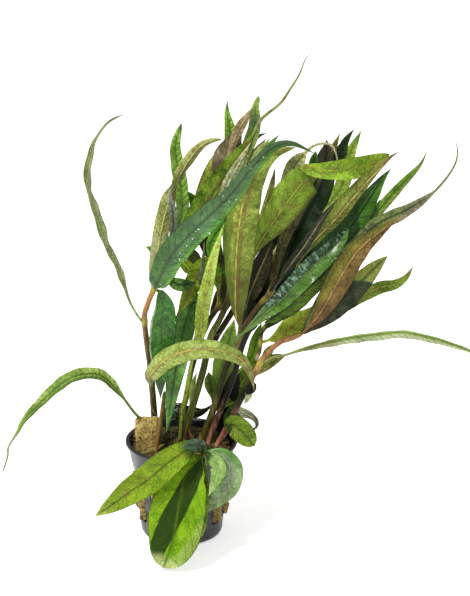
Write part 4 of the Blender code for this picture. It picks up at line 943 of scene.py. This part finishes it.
def paint_midrib(graph, off_rib, in_blade, look, width):
    """A shaded strip beside the midrib, flecks on a pale lower side, and the midrib itself."""
    seen_under = look["face"] == "under"
    light, dark = look["light"], look["dark"]
    graph.cover(graph.times(graph.below(off_rib, 0.4, 1.5), in_blade), tinted(dark, 0.75), 0.35)
    if seen_under and sum(light) > PALE:
        near_rib = graph.step(off_rib, 0.6, width * 0.26, 0.6, 0.0)
        graph.cover(graph.times(graph.spots(330.0, 3.0, 0.5, 0.62), near_rib), FLECK)
    rib = look.get("midrib", tinted(light, 1.1) if seen_under else tinted(dark, 0.8))
    rib_tone = graph.mix(graph.spots(240.0, 3.0, 0.45, 0.65), rib, tinted(rib, 0.72))
    stronger_in_blade = graph.step(in_blade, 0.0, 1.0, 0.15, 0.85)
    graph.cover(graph.times(graph.below(off_rib, 0.16, 0.5), stronger_in_blade), rib_tone)


def leaf_material(name, look, width):
    """A leaf in its own coordinates: mottled greens, side veins, a fine net between them and a midrib."""
    gloss = look["gloss"]
    seen_under = look["face"] == "under"
    light, dark = look["light"], look["dark"]
    graph = Graph(
        name, 0.5, Specular_IOR_Level=0.08 + 0.1 * gloss, Coat_Weight=0.02 + 0.28 * gloss, Coat_Roughness=0.16
    )
    across, along, far_side = graph.attribute("leaf")
    across = graph.math("SUBTRACT", across, look["rib"])
    blade = graph.attribute("blade")
    in_blade = blade[2]
    on_blade = graph.add("CombineXYZ", X=across, Y=along).outputs[0]
    paint_mottle(graph, on_blade, light, dark)
    paint_zones(graph, blade, look["zones"])
    if sum(light) > PALE:
        graph.cover(graph.spots(210.0, 4.0, 0.62, 0.72), BLOTCH, 0.4 if seen_under else 0.2)
    relief = graph.times(graph.noise(420.0), 0.6 + 1.6 * gloss)
    if look["crinkle"]:
        relief = paint_crinkle_shading(graph, blade, on_blade, look, relief)

    vein_distance = side_vein_distance(graph, across, along, max(3.2, width * 0.36))
    faint = graph.spots(150.0, 2.0, 0.35, 0.6, 0.35, 1.0)
    side_vein = graph.times(graph.below(vein_distance, 0.06, 0.4), faint)
    to_edge = graph.cells(on_blade, "DISTANCE_TO_EDGE")["Distance"]
    fine_vein = graph.times(graph.below(to_edge, 0.015, 0.11), faint)
    vein = look.get("vein", tinted(dark, 0.62))
    graph.cover(graph.times(fine_vein, in_blade), vein, 0.7 if seen_under else 0.5)
    graph.cover(graph.times(side_vein, in_blade), vein, 0.6)
    paint_midrib(graph, graph.math("ABSOLUTE", across), in_blade, look, width)
    graph.cover(graph.step(graph.math("ABSOLUTE", blade[0]), 0.92, 0.99), tinted(dark, 0.8), 0.4)
    # Painted highlights: small pale glints on glossy leaves.
    if gloss > PAINTED_GLINT_GLOSS:
        painted_glint_area = graph.times(graph.spots(75.0, 1.0, 0.48, 0.56), in_blade)
        graph.cover(graph.times(graph.spots(560.0, 1.0, 0.7, 0.74), painted_glint_area), PAINTED_GLINT, 0.8)
    graph.cover(far_side, graph.mix(0.55, graph.surface, FAR_SIDE[look["face"]]))

    relief = graph.times_plus(graph.step(vein_distance, 0.0, 1.1), -0.6 if seen_under else 1.0, relief)
    relief = graph.times_plus(fine_vein, 0.5 if seen_under else -0.5, relief)
    wet = graph.spots(240.0, 3.0, 0.45, 0.6)
    roughness = graph.times_plus(wet, -0.14 - 0.2 * gloss, 0.58 - 0.16 * gloss)
    return graph.finish(roughness, relief, 0.0003, 0.9)


def stem_material(name, colours):
    """A smooth, slightly ridged stem: colours that change along it, streaks and pale bands at its joints."""
    graph = Graph(name, 0.42, Specular_IOR_Level=0.08, Coat_Weight=0.03, Coat_Roughness=0.2)
    share, node_near, _ = graph.attribute("stem")
    wander = graph.times_plus(graph.noise(60.0), 0.08, graph.math("SUBTRACT", share, 0.04))
    graph.surface = paint(colours[0][1])
    for (low, _), (high, tint) in zip(colours, colours[1:]):
        graph.cover(graph.step(wander, low, high), tint)
    streak = graph.noise(900.0, 3.0, graph.moved("MULTIPLY", graph.where, (1.0, 1.0, 0.08)))
    pale_streak = graph.step(streak, 0.36, 0.44, 0.4, 0.0)
    graph.cover(graph.step(streak, 0.44, 0.7, 0.0, 0.6), STREAK)
    graph.cover(graph.times(pale_streak, graph.below(share, 0.12, 0.3)), PALE_STREAK)
    graph.cover(graph.spots(700.0, 2.0, 0.66, 0.74), STEM_SPOT, 0.12)
    graph.cover(graph.times(node_near, graph.step(share, 0.25, 0.45, 0.1, 0.7)), NODE_COLOUR)
    return graph.finish(graph.spots(260.0, 3.0, 0.3, 0.7, 0.3, 0.52), streak, 0.00022, 0.7)


def pot_material():
    """Charcoal plastic with a faint moulded texture, water marks and a little dust from the wool."""
    graph = Graph("pot_plastic", 0.36)
    graph.surface = graph.mix(graph.spots(40.0, 3.0, 0.35, 0.7), (13, 13, 18), (25, 25, 33))
    graph.cover(graph.spots(520.0, 5.0, 0.62, 0.75), (132, 116, 84), 0.3)
    moulded = graph.noise(1400.0, 2.0)
    return graph.finish(graph.spots(150.0, 3.0, 0.3, 0.7, 0.26, 0.46), moulded, 0.00008, 0.5)


def wool_material(name, light, dark, brown, wet_above=1.0):
    """Damp mineral fibre: tangled pale strands over a browner mass, and darker above a height in metres."""
    graph = Graph(name, 0.92, Specular_IOR_Level=0.15)
    warp = graph.add("TexNoise", Vector=graph.where, Scale=180.0, Detail=2.0).outputs["Color"]
    strands = graph.noise(900.0, 6.0, graph.moved("MULTIPLY_ADD", warp, (0.012, 0.012, 0.012), graph.where))
    graph.surface = graph.mix(graph.step(strands, 0.38, 0.62), dark, light)
    graph.cover(graph.spots(130.0, 4.0, 0.48, 0.66), brown, 0.7)
    wet = graph.step(graph.split(graph.where)[2], wet_above - 0.004, wet_above)
    soaked = graph.mix(graph.step(strands, 0.42, 0.66), (36, 34, 20), (116, 106, 68))
    graph.cover(graph.times(wet, graph.spots(95.0, 3.0, 0.42, 0.58, 0.66, 0.97)), soaked)
    # Small dark pits: painted shade in the wool's holes.
    graph.cover(graph.spots(420.0, 4.0, 0.56, 0.66), (30, 27, 16), 0.85)
    return graph.finish(relief=strands, height=0.001)


def fibre_material(name, light, dark):
    graph = Graph(name, 0.8)
    graph.surface = graph.mix(graph.noise(300.0), dark, light)
    return graph.finish()


def floor_material():
    graph = Graph("studio_floor", 0.9, Specular_IOR_Level=0.1, Emission_Strength=FLOOR_GLOW)
    graph.set(Emission_Color=(1.0, 1.0, 1.0, 1.0))
    graph.surface = graph.mix(graph.noise(3.0), (0.93, 0.93, 0.93, 1), (0.96, 0.96, 0.96, 1))
    return graph.finish()


# Meshes


def finish_piece(piece, replaces=None):
    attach(piece, BODY)
    if replaces:
        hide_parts(replaces)


def add_piece(name, vertices, faces, material, replaces=None, data=None):
    """A smooth piece from points in millimetres. data holds a vector for each point by attribute name."""
    mesh = bpy.data.meshes.new(name)
    mesh.from_pydata([tuple(vertex * MM) for vertex in vertices], [], faces)
    for key, values in (data or {}).items():
        attribute = mesh.attributes.new(key, "FLOAT_VECTOR", "POINT")
        attribute.data.foreach_set("vector", [number for value in values for number in value])
    mesh.materials.append(material)
    mesh.shade_smooth()
    mesh.validate()
    piece = bpy.data.objects.new(name, mesh)
    bpy.context.scene.collection.objects.link(piece)
    finish_piece(piece, replaces)


def stem_points(name):
    """A stem's centre line in millimetres, at full detail, and its length."""
    stem = STEMS[name]
    points = [on_drawing(*point) for point in stem["points"]]
    if stem["grows_on"]:
        parent = STEMS[stem["grows_on"]]
        reach = parent["foot"] + stem["foot"] + GAP
        points[0] = beside(points[0], points[1] - points[0], stem_points(stem["grows_on"])[0], reach)
    else:
        points[0].z = WOOL_TOP + GAP
    return curve_through(points, STEM_STEP)


def leaf_points(leaf):
    """A leaf's midrib in millimetres, at full detail, and its length."""
    points = [on_drawing(*point) for point in leaf["points"]]
    if leaf["on"] == "rock_wool":
        points[0].z = max(points[0].z, WOOL_TOP + GAP)
    else:
        reach = STEMS[leaf["on"]]["foot"] * STALK_START
        points[0] = beside(points[0], points[1] - points[0], stem_points(leaf["on"])[0], reach)
    return curve_through(points, LEAF_STEP)


def half_width(leaf, travelled, length):
    """Half the blade's width at a distance from the leaf's foot: a bare stalk, then a lance shape."""
    blade = length - leaf["stalk"] - leaf["tail"]
    share = min(max(0.0, (travelled - leaf["stalk"]) / blade), 1.0)
    peak = leaf["widest"]
    foot_power = leaf["tip"] * peak / (1 - peak)
    shape = (share / peak) ** foot_power * ((1 - share) / (1 - peak)) ** leaf["tip"]
    narrow = TAIL_HALF_WIDTH if leaf["tail"] and travelled > length / 2 else STALK_HALF_WIDTH
    return max(leaf["width"] / 2 * shape, narrow * max(0.0, 1 - travelled / length) ** 0.5)


def half_thickness(w, flat, share):
    """Half of a leaf's thickness: round at the stalk, thin in the blade and thinner at its tip."""
    round_half = STALK_THICKNESS / 2 * math.sqrt(max(0.0, 1 - w * w))
    flat_half = BLADE_THICKNESS / 2 * (1 - abs(w) ** 8)
    return (round_half * (1 - flat) + flat_half * flat) * (smooth(1 - share, 0.0, 0.04) * 0.8 + 0.2)


def blade_axes(along, degrees):
    """The directions to a blade's right and out of its face, turned away from facing the viewer."""
    facing = (TO_VIEWER - along * TO_VIEWER.dot(along)).normalized()
    right = along.cross(facing)
    turn = math.radians(degrees)
    normal = facing * math.cos(turn) + right * math.sin(turn)
    return right * math.cos(turn) - facing * math.sin(turn), normal


def edge_ripple(w, travelled, width, seed):
    """How far a blade's edge waves to and fro. The left edge has a phase and noise of its own."""
    phase, shift = (1.9, 5) if w < 0 else (0.0, 0)
    wave_length = max(SHORTEST_WAVE, 1.6 * width)
    ripple = math.sin(2 * math.pi * travelled / wave_length + (seed + phase))
    return ripple + 0.8 * noise.noise(Vector((travelled / 9, seed + shift, 3)))


def add_leaf(name, leaf, replaces=None):
    """A thin blade with a midrib, waved edges and a rounded stalk. Each station is a closed ring of points.

    The attribute leaf holds the millimetres across and along the leaf and 1 on its far side. The attribute
    blade holds w, the share of the way along the blade and 1 where the leaf is a flat blade.
    """
    line, length = leaf_points(leaf)
    look = leaf["look"]
    seed = sum(ord(letter) for letter in name) % 97
    last = len(line) - 1
    points = []
    for i, (centre, along) in enumerate(zip(line, directions(line))):
        travelled = length * i / last
        share = i / last
        right, normal = blade_axes(along, between(leaf["turn"], share))
        reach = max(half_width(leaf, travelled, length), 0.1)
        flat = smooth(reach, 1.0, 2.4)
        reach *= 1 + 0.05 * flat * noise.noise(Vector((travelled / 6, seed, 0)))
        rib = MIDRIB_RISE[look["face"]] * flat * (1 - 0.75 * share)
        blade_share = min(max((travelled - leaf["stalk"]) / (length - leaf["stalk"]), 0.0), 1.0)
        front, rear = [], []
        for w in LEAF_COLUMNS:
            across = w * reach
            wave = look["wave"] * abs(w) ** 1.6 * edge_ripple(w, travelled, leaf["width"], seed)
            lift = flat * reach * (look["cup"] * w * w + wave)
            lift += flat * look["fold"] * abs(across)
            lift += rib * math.exp(-((across / MIDRIB_HALF_WIDTH) ** 2))
            place = centre + right * across + normal * lift
            half = normal * half_thickness(w, flat, share)
            front.append((place + half, (across, travelled, 0.0), (w, blade_share, flat)))
            rear.append((place - half, (across, travelled, 1.0), (w, blade_share, flat)))
        points += front + rear[-2:0:-1]
    vertices, in_leaf, in_blade = zip(*points)
    data = {"leaf": in_leaf, "blade": in_blade}
    faces = tube_faces(len(line), 2 * len(LEAF_COLUMNS) - 2)
    material = leaf_material(name, look, leaf["width"])
    add_piece(name + "_blade", vertices, faces, material, replaces, data)


def leaf_joints(name, line, length):
    """How far along a stem its leaves leave it, in millimetres."""
    found = []
    for key, leaf in LEAVES.items():
        if leaf["on"] == name and key not in PLAIN_FEET:
            nearest = nearest_index(line, on_drawing(*leaf["points"][0]))
            found.append(length * nearest / (len(line) - 1))
    return found


def add_stem(name):
    """A tube that swells at its joints, with four faint ridges, set a little into the wool.

    The attribute stem holds the share of the way up and how near a joint is.
    """
    stem = STEMS[name]
    line, length = stem_points(name)
    if not stem["grows_on"]:
        line = [*(line[0] - Vector((0, 0, depth)) for depth in STEM_IN_WOOL), *line]
    joints = leaf_joints(name, line, length)
    last = len(line) - 1
    vertices, data = [], []
    for i, (centre, along) in enumerate(zip(line, directions(line))):
        share = i / last
        off_joints = [length * share - joint for joint in joints]
        near = max([math.exp(-((off / JOINT_REACH) ** 2)) for off in off_joints], default=0.0)
        radius = stem["foot"] + (stem["top"] - stem["foot"]) * share
        radius *= 1 + JOINT_SWELL * near * smooth(share, 0.15, 0.45) + 0.05 * noise.noise(centre / 7)
        radius *= 1 - 0.75 * smooth(i, last - 1.5, last)
        side = Vector((1, 0, 0))
        side = (side - along * side.dot(along)).normalized()
        ridged = [radius * (1 + RIDGE * math.cos(4 * angle + share)) for angle in turns(STEM_SIDES)]
        vertices += ring(centre, along, side, ridged)
        data += [(share, near, 0.0)] * STEM_SIDES
    faces = tube_faces(len(line), STEM_SIDES)
    material = stem_material(name, stem["colours"])
    add_piece(name + "_tube", vertices, faces, material, name, {"stem": data})


# Net pot


def pot_profile():
    """The radii and heights of the pot's outside, from the rim down, and of its inside, from the floor up."""
    outside = [
        (RIM_RADIUS - 0.9, POT_HEIGHT),
        (RIM_RADIUS - 0.3, POT_HEIGHT - 0.15),
        (RIM_RADIUS, POT_HEIGHT - 0.5),
        (RIM_RADIUS, RIM_FOOT + 0.3),
        (RIM_RADIUS - 0.3, RIM_FOOT),
        (COLLAR_TOP_RADIUS, RIM_FOOT - 0.4),
        (COLLAR_TOP_RADIUS - 0.3, RIM_FOOT - 1.4),
        (COLLAR_FOOT_RADIUS, COLLAR_FOOT_HEIGHT),
        (COLLAR_FOOT_RADIUS - 0.3, COLLAR_FOOT_HEIGHT - 0.6),
        (BODY_TOP_RADIUS, COLLAR_FOOT_HEIGHT - 1.2),
        (BODY_FOOT_RADIUS, BASE_ROUNDING),
    ]
    for step in range(1, 7):
        turn = math.pi / 2 * step / 6
        radius = BASE_RADIUS + (BODY_FOOT_RADIUS - BASE_RADIUS) * math.cos(turn)
        outside.append((radius, BASE_ROUNDING * (1 - math.sin(turn))))
    inside = [
        (BASE_RADIUS - 0.4, FLOOR_THICKNESS),
        (BODY_FOOT_RADIUS - WALL, BASE_ROUNDING + 0.6),
        (BODY_TOP_RADIUS - WALL, COLLAR_FOOT_HEIGHT - 1.0),
        (COLLAR_FOOT_RADIUS - WALL, COLLAR_FOOT_HEIGHT + 1.4),
        (COLLAR_TOP_RADIUS - WALL, RIM_FOOT - 1.0),
        (RIM_RADIUS - 1.9, POT_HEIGHT - 0.3),
        (RIM_RADIUS - 1.5, POT_HEIGHT),
    ]
    return outside, inside


def pot_shell():
    """The pot's wall and floor, turned from its profile."""
    outside, inside = pot_profile()
    rows = outside + inside
    floor_row = len(outside) - 1
    vertices, faces = [], []
    for row, (radius, height) in enumerate(rows):
        vertices += [around(radius, angle, height) * MM for angle in turns(POT_SIDES)]
        if row == floor_row:
            continue
        low, high = row * POT_SIDES, (row + 1) % len(rows) * POT_SIDES
        for i in range(POT_SIDES):
            j = (i + 1) % POT_SIDES
            faces.append((low + i, high + i, high + j, low + j))
    under_floor, on_floor = floor_row * POT_SIDES, (floor_row + 1) * POT_SIDES
    faces.append(tuple(range(under_floor, under_floor + POT_SIDES)))
    faces.append(tuple(range(on_floor + POT_SIDES - 1, on_floor - 1, -1)))
    data = bpy.data.meshes.new("pot_shell")
    data.from_pydata(vertices, [], faces)
    mesh = bmesh.new()
    mesh.from_mesh(data)
    bmesh.ops.recalc_face_normals(mesh, faces=mesh.faces)
    mesh.to_mesh(data)
    mesh.free()
    return data


def slot_cutter():
    """Upright bars with rounded corners, one for each slot."""
    mesh = bmesh.new()
    middle = Vector((BODY_TOP_RADIUS, 0, (SLOT_FOOT + SLOT_TOP) / 2)) * MM
    size = Vector((SLOT_CUT_DEPTH, SLOT_WIDTH, SLOT_TOP - SLOT_FOOT)) * MM
    for angle in turns(SLOTS):
        place = Matrix.Rotation(angle + SLOT_TURN, 4, "Z") @ Matrix.Translation(middle)
        made = bmesh.ops.create_cube(mesh, size=1, matrix=place)
        bmesh.ops.scale(mesh, vec=size, space=place.inverted(), verts=made["verts"])
        outward = place.to_3x3() @ Vector((1, 0, 0))
        long_edges = [
            edge for edge in {edge for vert in made["verts"] for edge in vert.link_edges}
            if abs((edge.verts[0].co - edge.verts[1].co).normalized().dot(outward)) > 0.9
        ]
        bmesh.ops.bevel(
            mesh, geom=long_edges, offset=SLOT_CORNER * MM, segments=4, profile=0.5, affect="EDGES"
        )
    data = bpy.data.meshes.new("slot_cutter")
    mesh.to_mesh(data)
    mesh.free()
    return data


def bake(piece):
    """Applies a piece's modifiers to its mesh."""
    graph = bpy.context.evaluated_depsgraph_get()
    mesh = bpy.data.meshes.new_from_object(piece.evaluated_get(graph))
    piece.modifiers.clear()
    piece.data = mesh


def add_pot():
    pot = bpy.data.objects.new("net_pot_shell", pot_shell())
    cutter = bpy.data.objects.new("slot_cutter", slot_cutter())
    for piece in (pot, cutter):
        bpy.context.scene.collection.objects.link(piece)
    slots = pot.modifiers.new("slots", "BOOLEAN")
    slots.operation = "DIFFERENCE"
    slots.object = cutter
    soft_edges = pot.modifiers.new("soft_edges", "BEVEL")
    soft_edges.width = 0.25 * MM
    soft_edges.segments = 2
    soft_edges.limit_method = "ANGLE"
    soft_edges.angle_limit = math.radians(50)
    bake(pot)
    bpy.data.objects.remove(cutter)
    pot.data.materials.append(pot_material())
    pot.data.shade_smooth()
    pot.data.set_sharp_from_angle(angle=math.radians(45))
    finish_piece(pot, "net_pot")


# Rock wool


def wool_radius(height):
    """The wool's radius at a height, against the inside of the pot."""
    rows = [
        (FLOOR_THICKNESS, BASE_RADIUS - 1.0),
        (BASE_ROUNDING + 0.9, BODY_FOOT_RADIUS - WALL - GAP),
        (COLLAR_FOOT_HEIGHT - 1.0, BODY_TOP_RADIUS - WALL - GAP),
        (COLLAR_FOOT_HEIGHT + 1.4, COLLAR_FOOT_RADIUS - WALL - GAP),
        (WOOL_TOP, COLLAR_TOP_RADIUS - WALL - 0.6),
    ]
    for (low, a), (high, b) in zip(rows, rows[1:]):
        if height <= high:
            return a + (b - a) * (height - low) / (high - low)
    return rows[-1][1]


def in_slot(angle, height):
    """1 in the middle of a slot and 0 behind a rib, for the wool that bulges out there."""
    if not SLOT_FOOT + 1 < height < SLOT_TOP - 1:
        return 0.0
    turn = ((angle - SLOT_TURN) / (2 * math.pi) * SLOTS + 0.5) % 1.0
    off = abs(turn - 0.5) * 2 * math.pi * BODY_TOP_RADIUS / SLOTS
    return 1 - smooth(off, SLOT_WIDTH / 2 - 1.6, SLOT_WIDTH / 2 - 0.4)


def rough(point, *layers):
    """Noise at a point, added up from layers of a height and a grain in millimetres."""
    return sum(height * noise.noise(point / grain) for height, grain in layers)


def add_wool():
    """The plug of wool: rough sides that bulge in the slots and an uneven top."""
    vertices = []
    for level in range(WOOL_LEVELS + 1):
        height = FLOOR_THICKNESS + 0.2 + (WOOL_TOP - FLOOR_THICKNESS - 0.2) * level / WOOL_LEVELS
        radius = wool_radius(height) - WOOL_INSET
        for angle in turns(WOOL_SIDES):
            swell = 3.3 + rough(around(radius, angle, height), (1.7, 6), (1.0, 2.2), (0.6, 0.9))
            bulge = in_slot(angle, height) * min(max(swell, 0.9), 5.2)
            vertices.append(around(radius + bulge, angle, height))
    for row in range(1, WOOL_RINGS):
        radius = (wool_radius(WOOL_TOP) - WOOL_INSET) * (1 - row / WOOL_RINGS)
        for angle in turns(WOOL_SIDES):
            flat = around(radius, angle)
            rise = rough(flat, (1.3, 5), (1.3, 2.2), (0.8, 1.0))
            vertices.append(flat + Vector((0, 0, WOOL_TOP - 0.3 + rise)))
    vertices.append(Vector((0, 0, WOOL_TOP)))
    rows = WOOL_LEVELS + WOOL_RINGS
    top_row = (rows - 1) * WOOL_SIDES
    faces = ring_faces(rows, WOOL_SIDES)
    for i in range(WOOL_SIDES):
        faces.append((top_row + i, top_row + (i + 1) % WOOL_SIDES, len(vertices) - 1))
    faces.append(tuple(range(WOOL_SIDES - 1, -1, -1)))
    material = wool_material("damp_wool", (180, 156, 98), (112, 94, 54), (92, 78, 46), WOOL_TOP * MM - 0.004)
    add_piece("rock_wool_plug", vertices, faces, material, "rock_wool")


def add_wool_block():
    """The corner of the wool that stands up at the left: a rough block with rounded edges."""
    low = WOOL_TOP - 2.5
    size = Vector((BLOCK_RIGHT - BLOCK_LEFT, BLOCK_BACK - BLOCK_FRONT, BLOCK_TOP - low))
    middle = Vector(((BLOCK_LEFT + BLOCK_RIGHT) / 2, (BLOCK_FRONT + BLOCK_BACK) / 2, (BLOCK_TOP + low) / 2))
    mesh = bmesh.new()
    bmesh.ops.create_cube(mesh, size=1)
    bmesh.ops.subdivide_edges(mesh, edges=mesh.edges[:], cuts=BLOCK_CUTS, use_grid_fill=True)
    vertices = []
    for vert in mesh.verts:
        unit = vert.co * 2
        roundness = max(abs(unit.x) ** 8 + abs(unit.y) ** 8 + abs(unit.z) ** 8, 1.0) ** (-1 / 8)
        point = Vector([unit[i] * roundness * size[i] / 2 for i in range(3)]) + middle
        out = Vector((unit.x, unit.y, max(unit.z, 0.0))).normalized()
        point += out * (rough(point, (0.55, 3.2), (0.45, 1.3), (0.2, 0.6)) - 0.35)
        point.x -= 0.6 * smooth(point.z, low, BLOCK_TOP)
        vertices.append(point)
    faces = [tuple(vert.index for vert in face.verts) for face in mesh.faces]
    mesh.free()
    material = wool_material("dry_wool", (202, 178, 108), (148, 126, 66), (128, 108, 56))
    add_piece("rock_wool_corner", vertices, faces, material)


def add_strands(name, strands, material):
    """Many thin tubes as one piece. Each strand is the points of a smooth curve and the radii along it."""
    vertices, faces = [], []
    for points, radii in strands:
        line, _ = curve_through(points, STRAND_STEP)
        start = len(vertices)
        for i, (centre, along) in enumerate(zip(line, directions(line))):
            radius = between(radii, i / (len(line) - 1))
            vertices += ring(centre, along, along.orthogonal().normalized(), [radius] * STRAND_SIDES)
        for face in tube_faces(len(line), STRAND_SIDES):
            faces.append(tuple(index + start for index in face))
    add_piece(name, vertices, faces, material)


def any_way(dice):
    return Vector([dice.uniform(-1, 1) for _ in range(3)])


def random_strand(dice, start, heading, length, curl):
    """A thread that wanders off from start, mostly along heading."""
    points = [start]
    direction = heading.normalized()
    for _ in range(FIBRE_PARTS):
        direction = (direction + any_way(dice) * curl).normalized()
        points.append(points[-1] + direction * length / FIBRE_PARTS)
    return points


def add_top_fibres(dice):
    """Loose wet fibres on the wool's top, kept inside the pot and near the wool."""
    strands = []
    for _ in range(TOP_FIBRES):
        angle, radius = dice.uniform(0, 2 * math.pi), 22.5 * math.sqrt(dice.random())
        start = around(radius, angle, WOOL_TOP + 0.1)
        heading = Vector((dice.uniform(-1, 1), dice.uniform(-1, 1), dice.uniform(0.0, 0.35)))
        points = random_strand(dice, start, heading, dice.uniform(1.5, 4.0), 0.6)
        for point in points:
            point.z = max(min(point.z, WOOL_TOP + 3.0), WOOL_TOP - 0.1)
            flat = Vector((point.x, point.y, 0))
            if flat.length > WOOL_REACH:
                point.x, point.y = (flat.normalized() * WOOL_REACH).xy
        strands.append((points, FIBRE_RADII))
    add_strands("top_fibres", strands, fibre_material("wet_fibre", (98, 88, 54), (44, 40, 24)))


def add_block_fibres(dice):
    """Loose fibres on the front, top and both sides of the wool's standing corner."""
    strands = []
    for _ in range(BLOCK_FIBRES):
        side = dice.choice(("front", "top", "left", "right"))
        across = dice.uniform(BLOCK_LEFT, BLOCK_RIGHT)
        deep = dice.uniform(BLOCK_FRONT, BLOCK_BACK)
        height = dice.uniform(WOOL_TOP, BLOCK_TOP - 0.5)
        start, out = {
            "front": ((across, BLOCK_FRONT + 0.4, height), (0, -1, 0)),
            "top": ((across, deep, BLOCK_TOP - 0.4), (0, 0, 1)),
            "left": ((BLOCK_LEFT, deep, height), (-1, 0, 0)),
            "right": ((BLOCK_RIGHT - 0.6, deep, height), (1, 0, 0)),
        }[side]
        heading = Vector(out) * 0.35 + any_way(dice)
        points = random_strand(dice, Vector(start), heading, dice.uniform(1.2, 2.6), 0.6)
        strands.append((points, FIBRE_RADII))
    material = fibre_material("pale_fibre", (200, 168, 102), (134, 106, 56))
    add_strands("wool_fibres", strands, material)


def add_slot_fibres(dice):
    """Wool and fine roots that stand out of the slots."""
    strands = []
    for middle in turns(SLOTS):
        for _ in range(SLOT_FIBRES):
            sideways = dice.uniform(-1, 1) * (SLOT_WIDTH / 2 - 0.7) / BODY_TOP_RADIUS
            angle = middle + SLOT_TURN + sideways
            height = dice.uniform(SLOT_FOOT + 1, SLOT_TOP - 1)
            out = around(1, angle)
            start = out * (wool_radius(height) + 2.2) + Vector((0, 0, height))
            heading = out * 0.5 + Vector((0, 0, dice.uniform(-1.2, 0.4)))
            heading += out.cross(Vector((0, 0, 1))) * dice.uniform(-0.6, 0.6)
            points = random_strand(dice, start, heading, dice.uniform(1.4, 3.6), 0.45)
            strands.append((points, ROOT_RADII))
    material = fibre_material("root_fibre", (176, 142, 84), (112, 84, 44))
    add_strands("slot_fibres", strands, material)


def add_runner():
    """A dark runner behind the stems."""
    places = [(0.5, 10, 55), (4.7, 12.5, 59.5), (9, 12.5, 59.3), (13, 11.5, 62), (17, 9, 66)]
    material = stem_material("dark_runner", [(0, (30, 32, 22)), (0.5, (24, 26, 20)), (1, (34, 40, 24))])
    strand = [Vector(place) for place in places], [0.5, 0.65, 0.6, 0.45]
    add_strands("dark_runner", [strand], material)


def add_sprout():
    """The red sprout in front of the stems."""
    places = [(6.4, -3, -2), (5.4, 0.5, -2.4), (4.2, 3.4, -2.6), (3.4, 5.4, -2.6)]
    material = stem_material("red_sprout", [(0, (158, 104, 74)), (0.5, (146, 84, 66)), (1, (120, 84, 66))])
    strand = [on_drawing(*place) for place in places], [0.9, 0.75, 0.45, 0.1]
    add_strands("red_sprout", [strand], material)


def add_stubs():
    """Dry stubs of old stems. Each has its place on the wool, how far it rises and how far it leans."""
    stubs = []
    for x, y, rise, lean in (
        (11.6, -7.6, 3.4, 0.4), (14.6, -8.4, 2.6, -0.5), (17.6, -6.2, 2.8, 0.6), (8.4, -6.8, 2.2, -0.3)
    ):
        low = Vector((x, y, WOOL_TOP - 1.5))
        middle = low + Vector((lean / 2, 0, rise / 2 + 1))
        stubs.append(([low, middle, low + Vector((lean, -0.3, rise + 1.5))], [1.1, 1.0, 0.8]))
    material = stem_material("dry_stubs", [(0, (66, 52, 30)), (0.5, (84, 66, 34)), (1, (150, 124, 62))])
    add_strands("dry_stubs", stubs, material)


# Stage


def add_floor():
    mesh = bpy.data.meshes.new("floor")
    corners = [(-1, -1), (1, -1), (1, 1), (-1, 1)]
    mesh.from_pydata([(x * FLOOR_HALF, y * FLOOR_HALF, 0) for x, y in corners], [], [(0, 1, 2, 3)])
    mesh.materials.append(floor_material())
    floor = bpy.data.objects.new("floor", mesh)
    bpy.context.scene.collection.objects.link(floor)


def add_sky():
    """White light from all around, brighter overhead than at the horizon."""
    world = bpy.data.worlds.new("studio")
    world.use_nodes = True
    tree = world.node_tree
    background = tree.nodes["Background"]
    background.inputs["Color"].default_value = (1.0, 1.0, 1.0, 1.0)
    height = tree.nodes.new("ShaderNodeSeparateXYZ")
    tree.links.new(tree.nodes.new("ShaderNodeTexCoord").outputs["Generated"], height.inputs[0])
    strength = tree.nodes.new("ShaderNodeMapRange")
    strength.inputs["To Min"].default_value = SKY_AT_HORIZON
    strength.inputs["To Max"].default_value = SKY_OVERHEAD
    tree.links.new(height.outputs["Z"], strength.inputs["Value"])
    tree.links.new(strength.outputs["Result"], background.inputs["Strength"])
    bpy.context.scene.world = world


def add_key_light():
    """One soft and slightly warm lamp above the viewer's left shoulder."""
    light = bpy.data.lights.new("key", "AREA")
    light.shape = "DISK"
    light.size = KEY_SIZE
    light.energy = KEY_POWER
    light.color = KEY_COLOUR
    lamp = bpy.data.objects.new("key", light)
    lamp.location = KEY_PLACE
    lamp.rotation_euler = (Vector(KEY_AIM) - Vector(KEY_PLACE)).to_track_quat("-Z", "Y").to_euler()
    bpy.context.scene.collection.objects.link(lamp)


def add_camera():
    """A long lens three metres away, looking down by the tilt of the drawing."""
    middle_across, middle_up = DRAWING_MIDDLE
    aim = Vector((middle_across, 0, POT_HEIGHT + middle_up / math.cos(VIEW_TILT)))
    eye = aim + TO_VIEWER * VIEW_DISTANCE
    rim_distance = (eye - Vector((0, 0, POT_HEIGHT))).dot(TO_VIEWER)
    data = bpy.data.cameras.new("camera")
    data.sensor_fit = "VERTICAL"
    data.sensor_height = SENSOR_HEIGHT
    data.lens = PIXELS_PER_MM * rim_distance / IMAGE_HEIGHT * SENSOR_HEIGHT
    data.clip_end = 20.0
    camera = bpy.data.objects.new("camera", data)
    camera.location = eye * MM
    camera.rotation_euler = (math.pi / 2 - VIEW_TILT, 0, 0)
    bpy.context.scene.collection.objects.link(camera)
    bpy.context.scene.camera = camera


def main():
    bpy.context.scene.view_settings.view_transform = "Standard"
    add_camera()
    add_sky()
    add_key_light()
    add_floor()
    add_pot()
    add_wool()
    add_wool_block()
    wool_dice = random.Random(7)
    add_top_fibres(wool_dice)
    add_block_fibres(wool_dice)
    add_slot_fibres(random.Random(19))
    for name in STEMS:
        add_stem(name)
    for name, blade in LEAVES.items():
        add_leaf(name, blade, name)
    for name, blade in SMALL_LEAVES.items():
        add_leaf("small_" + name, blade)
    add_runner()
    add_sprout()
    add_stubs()


main()
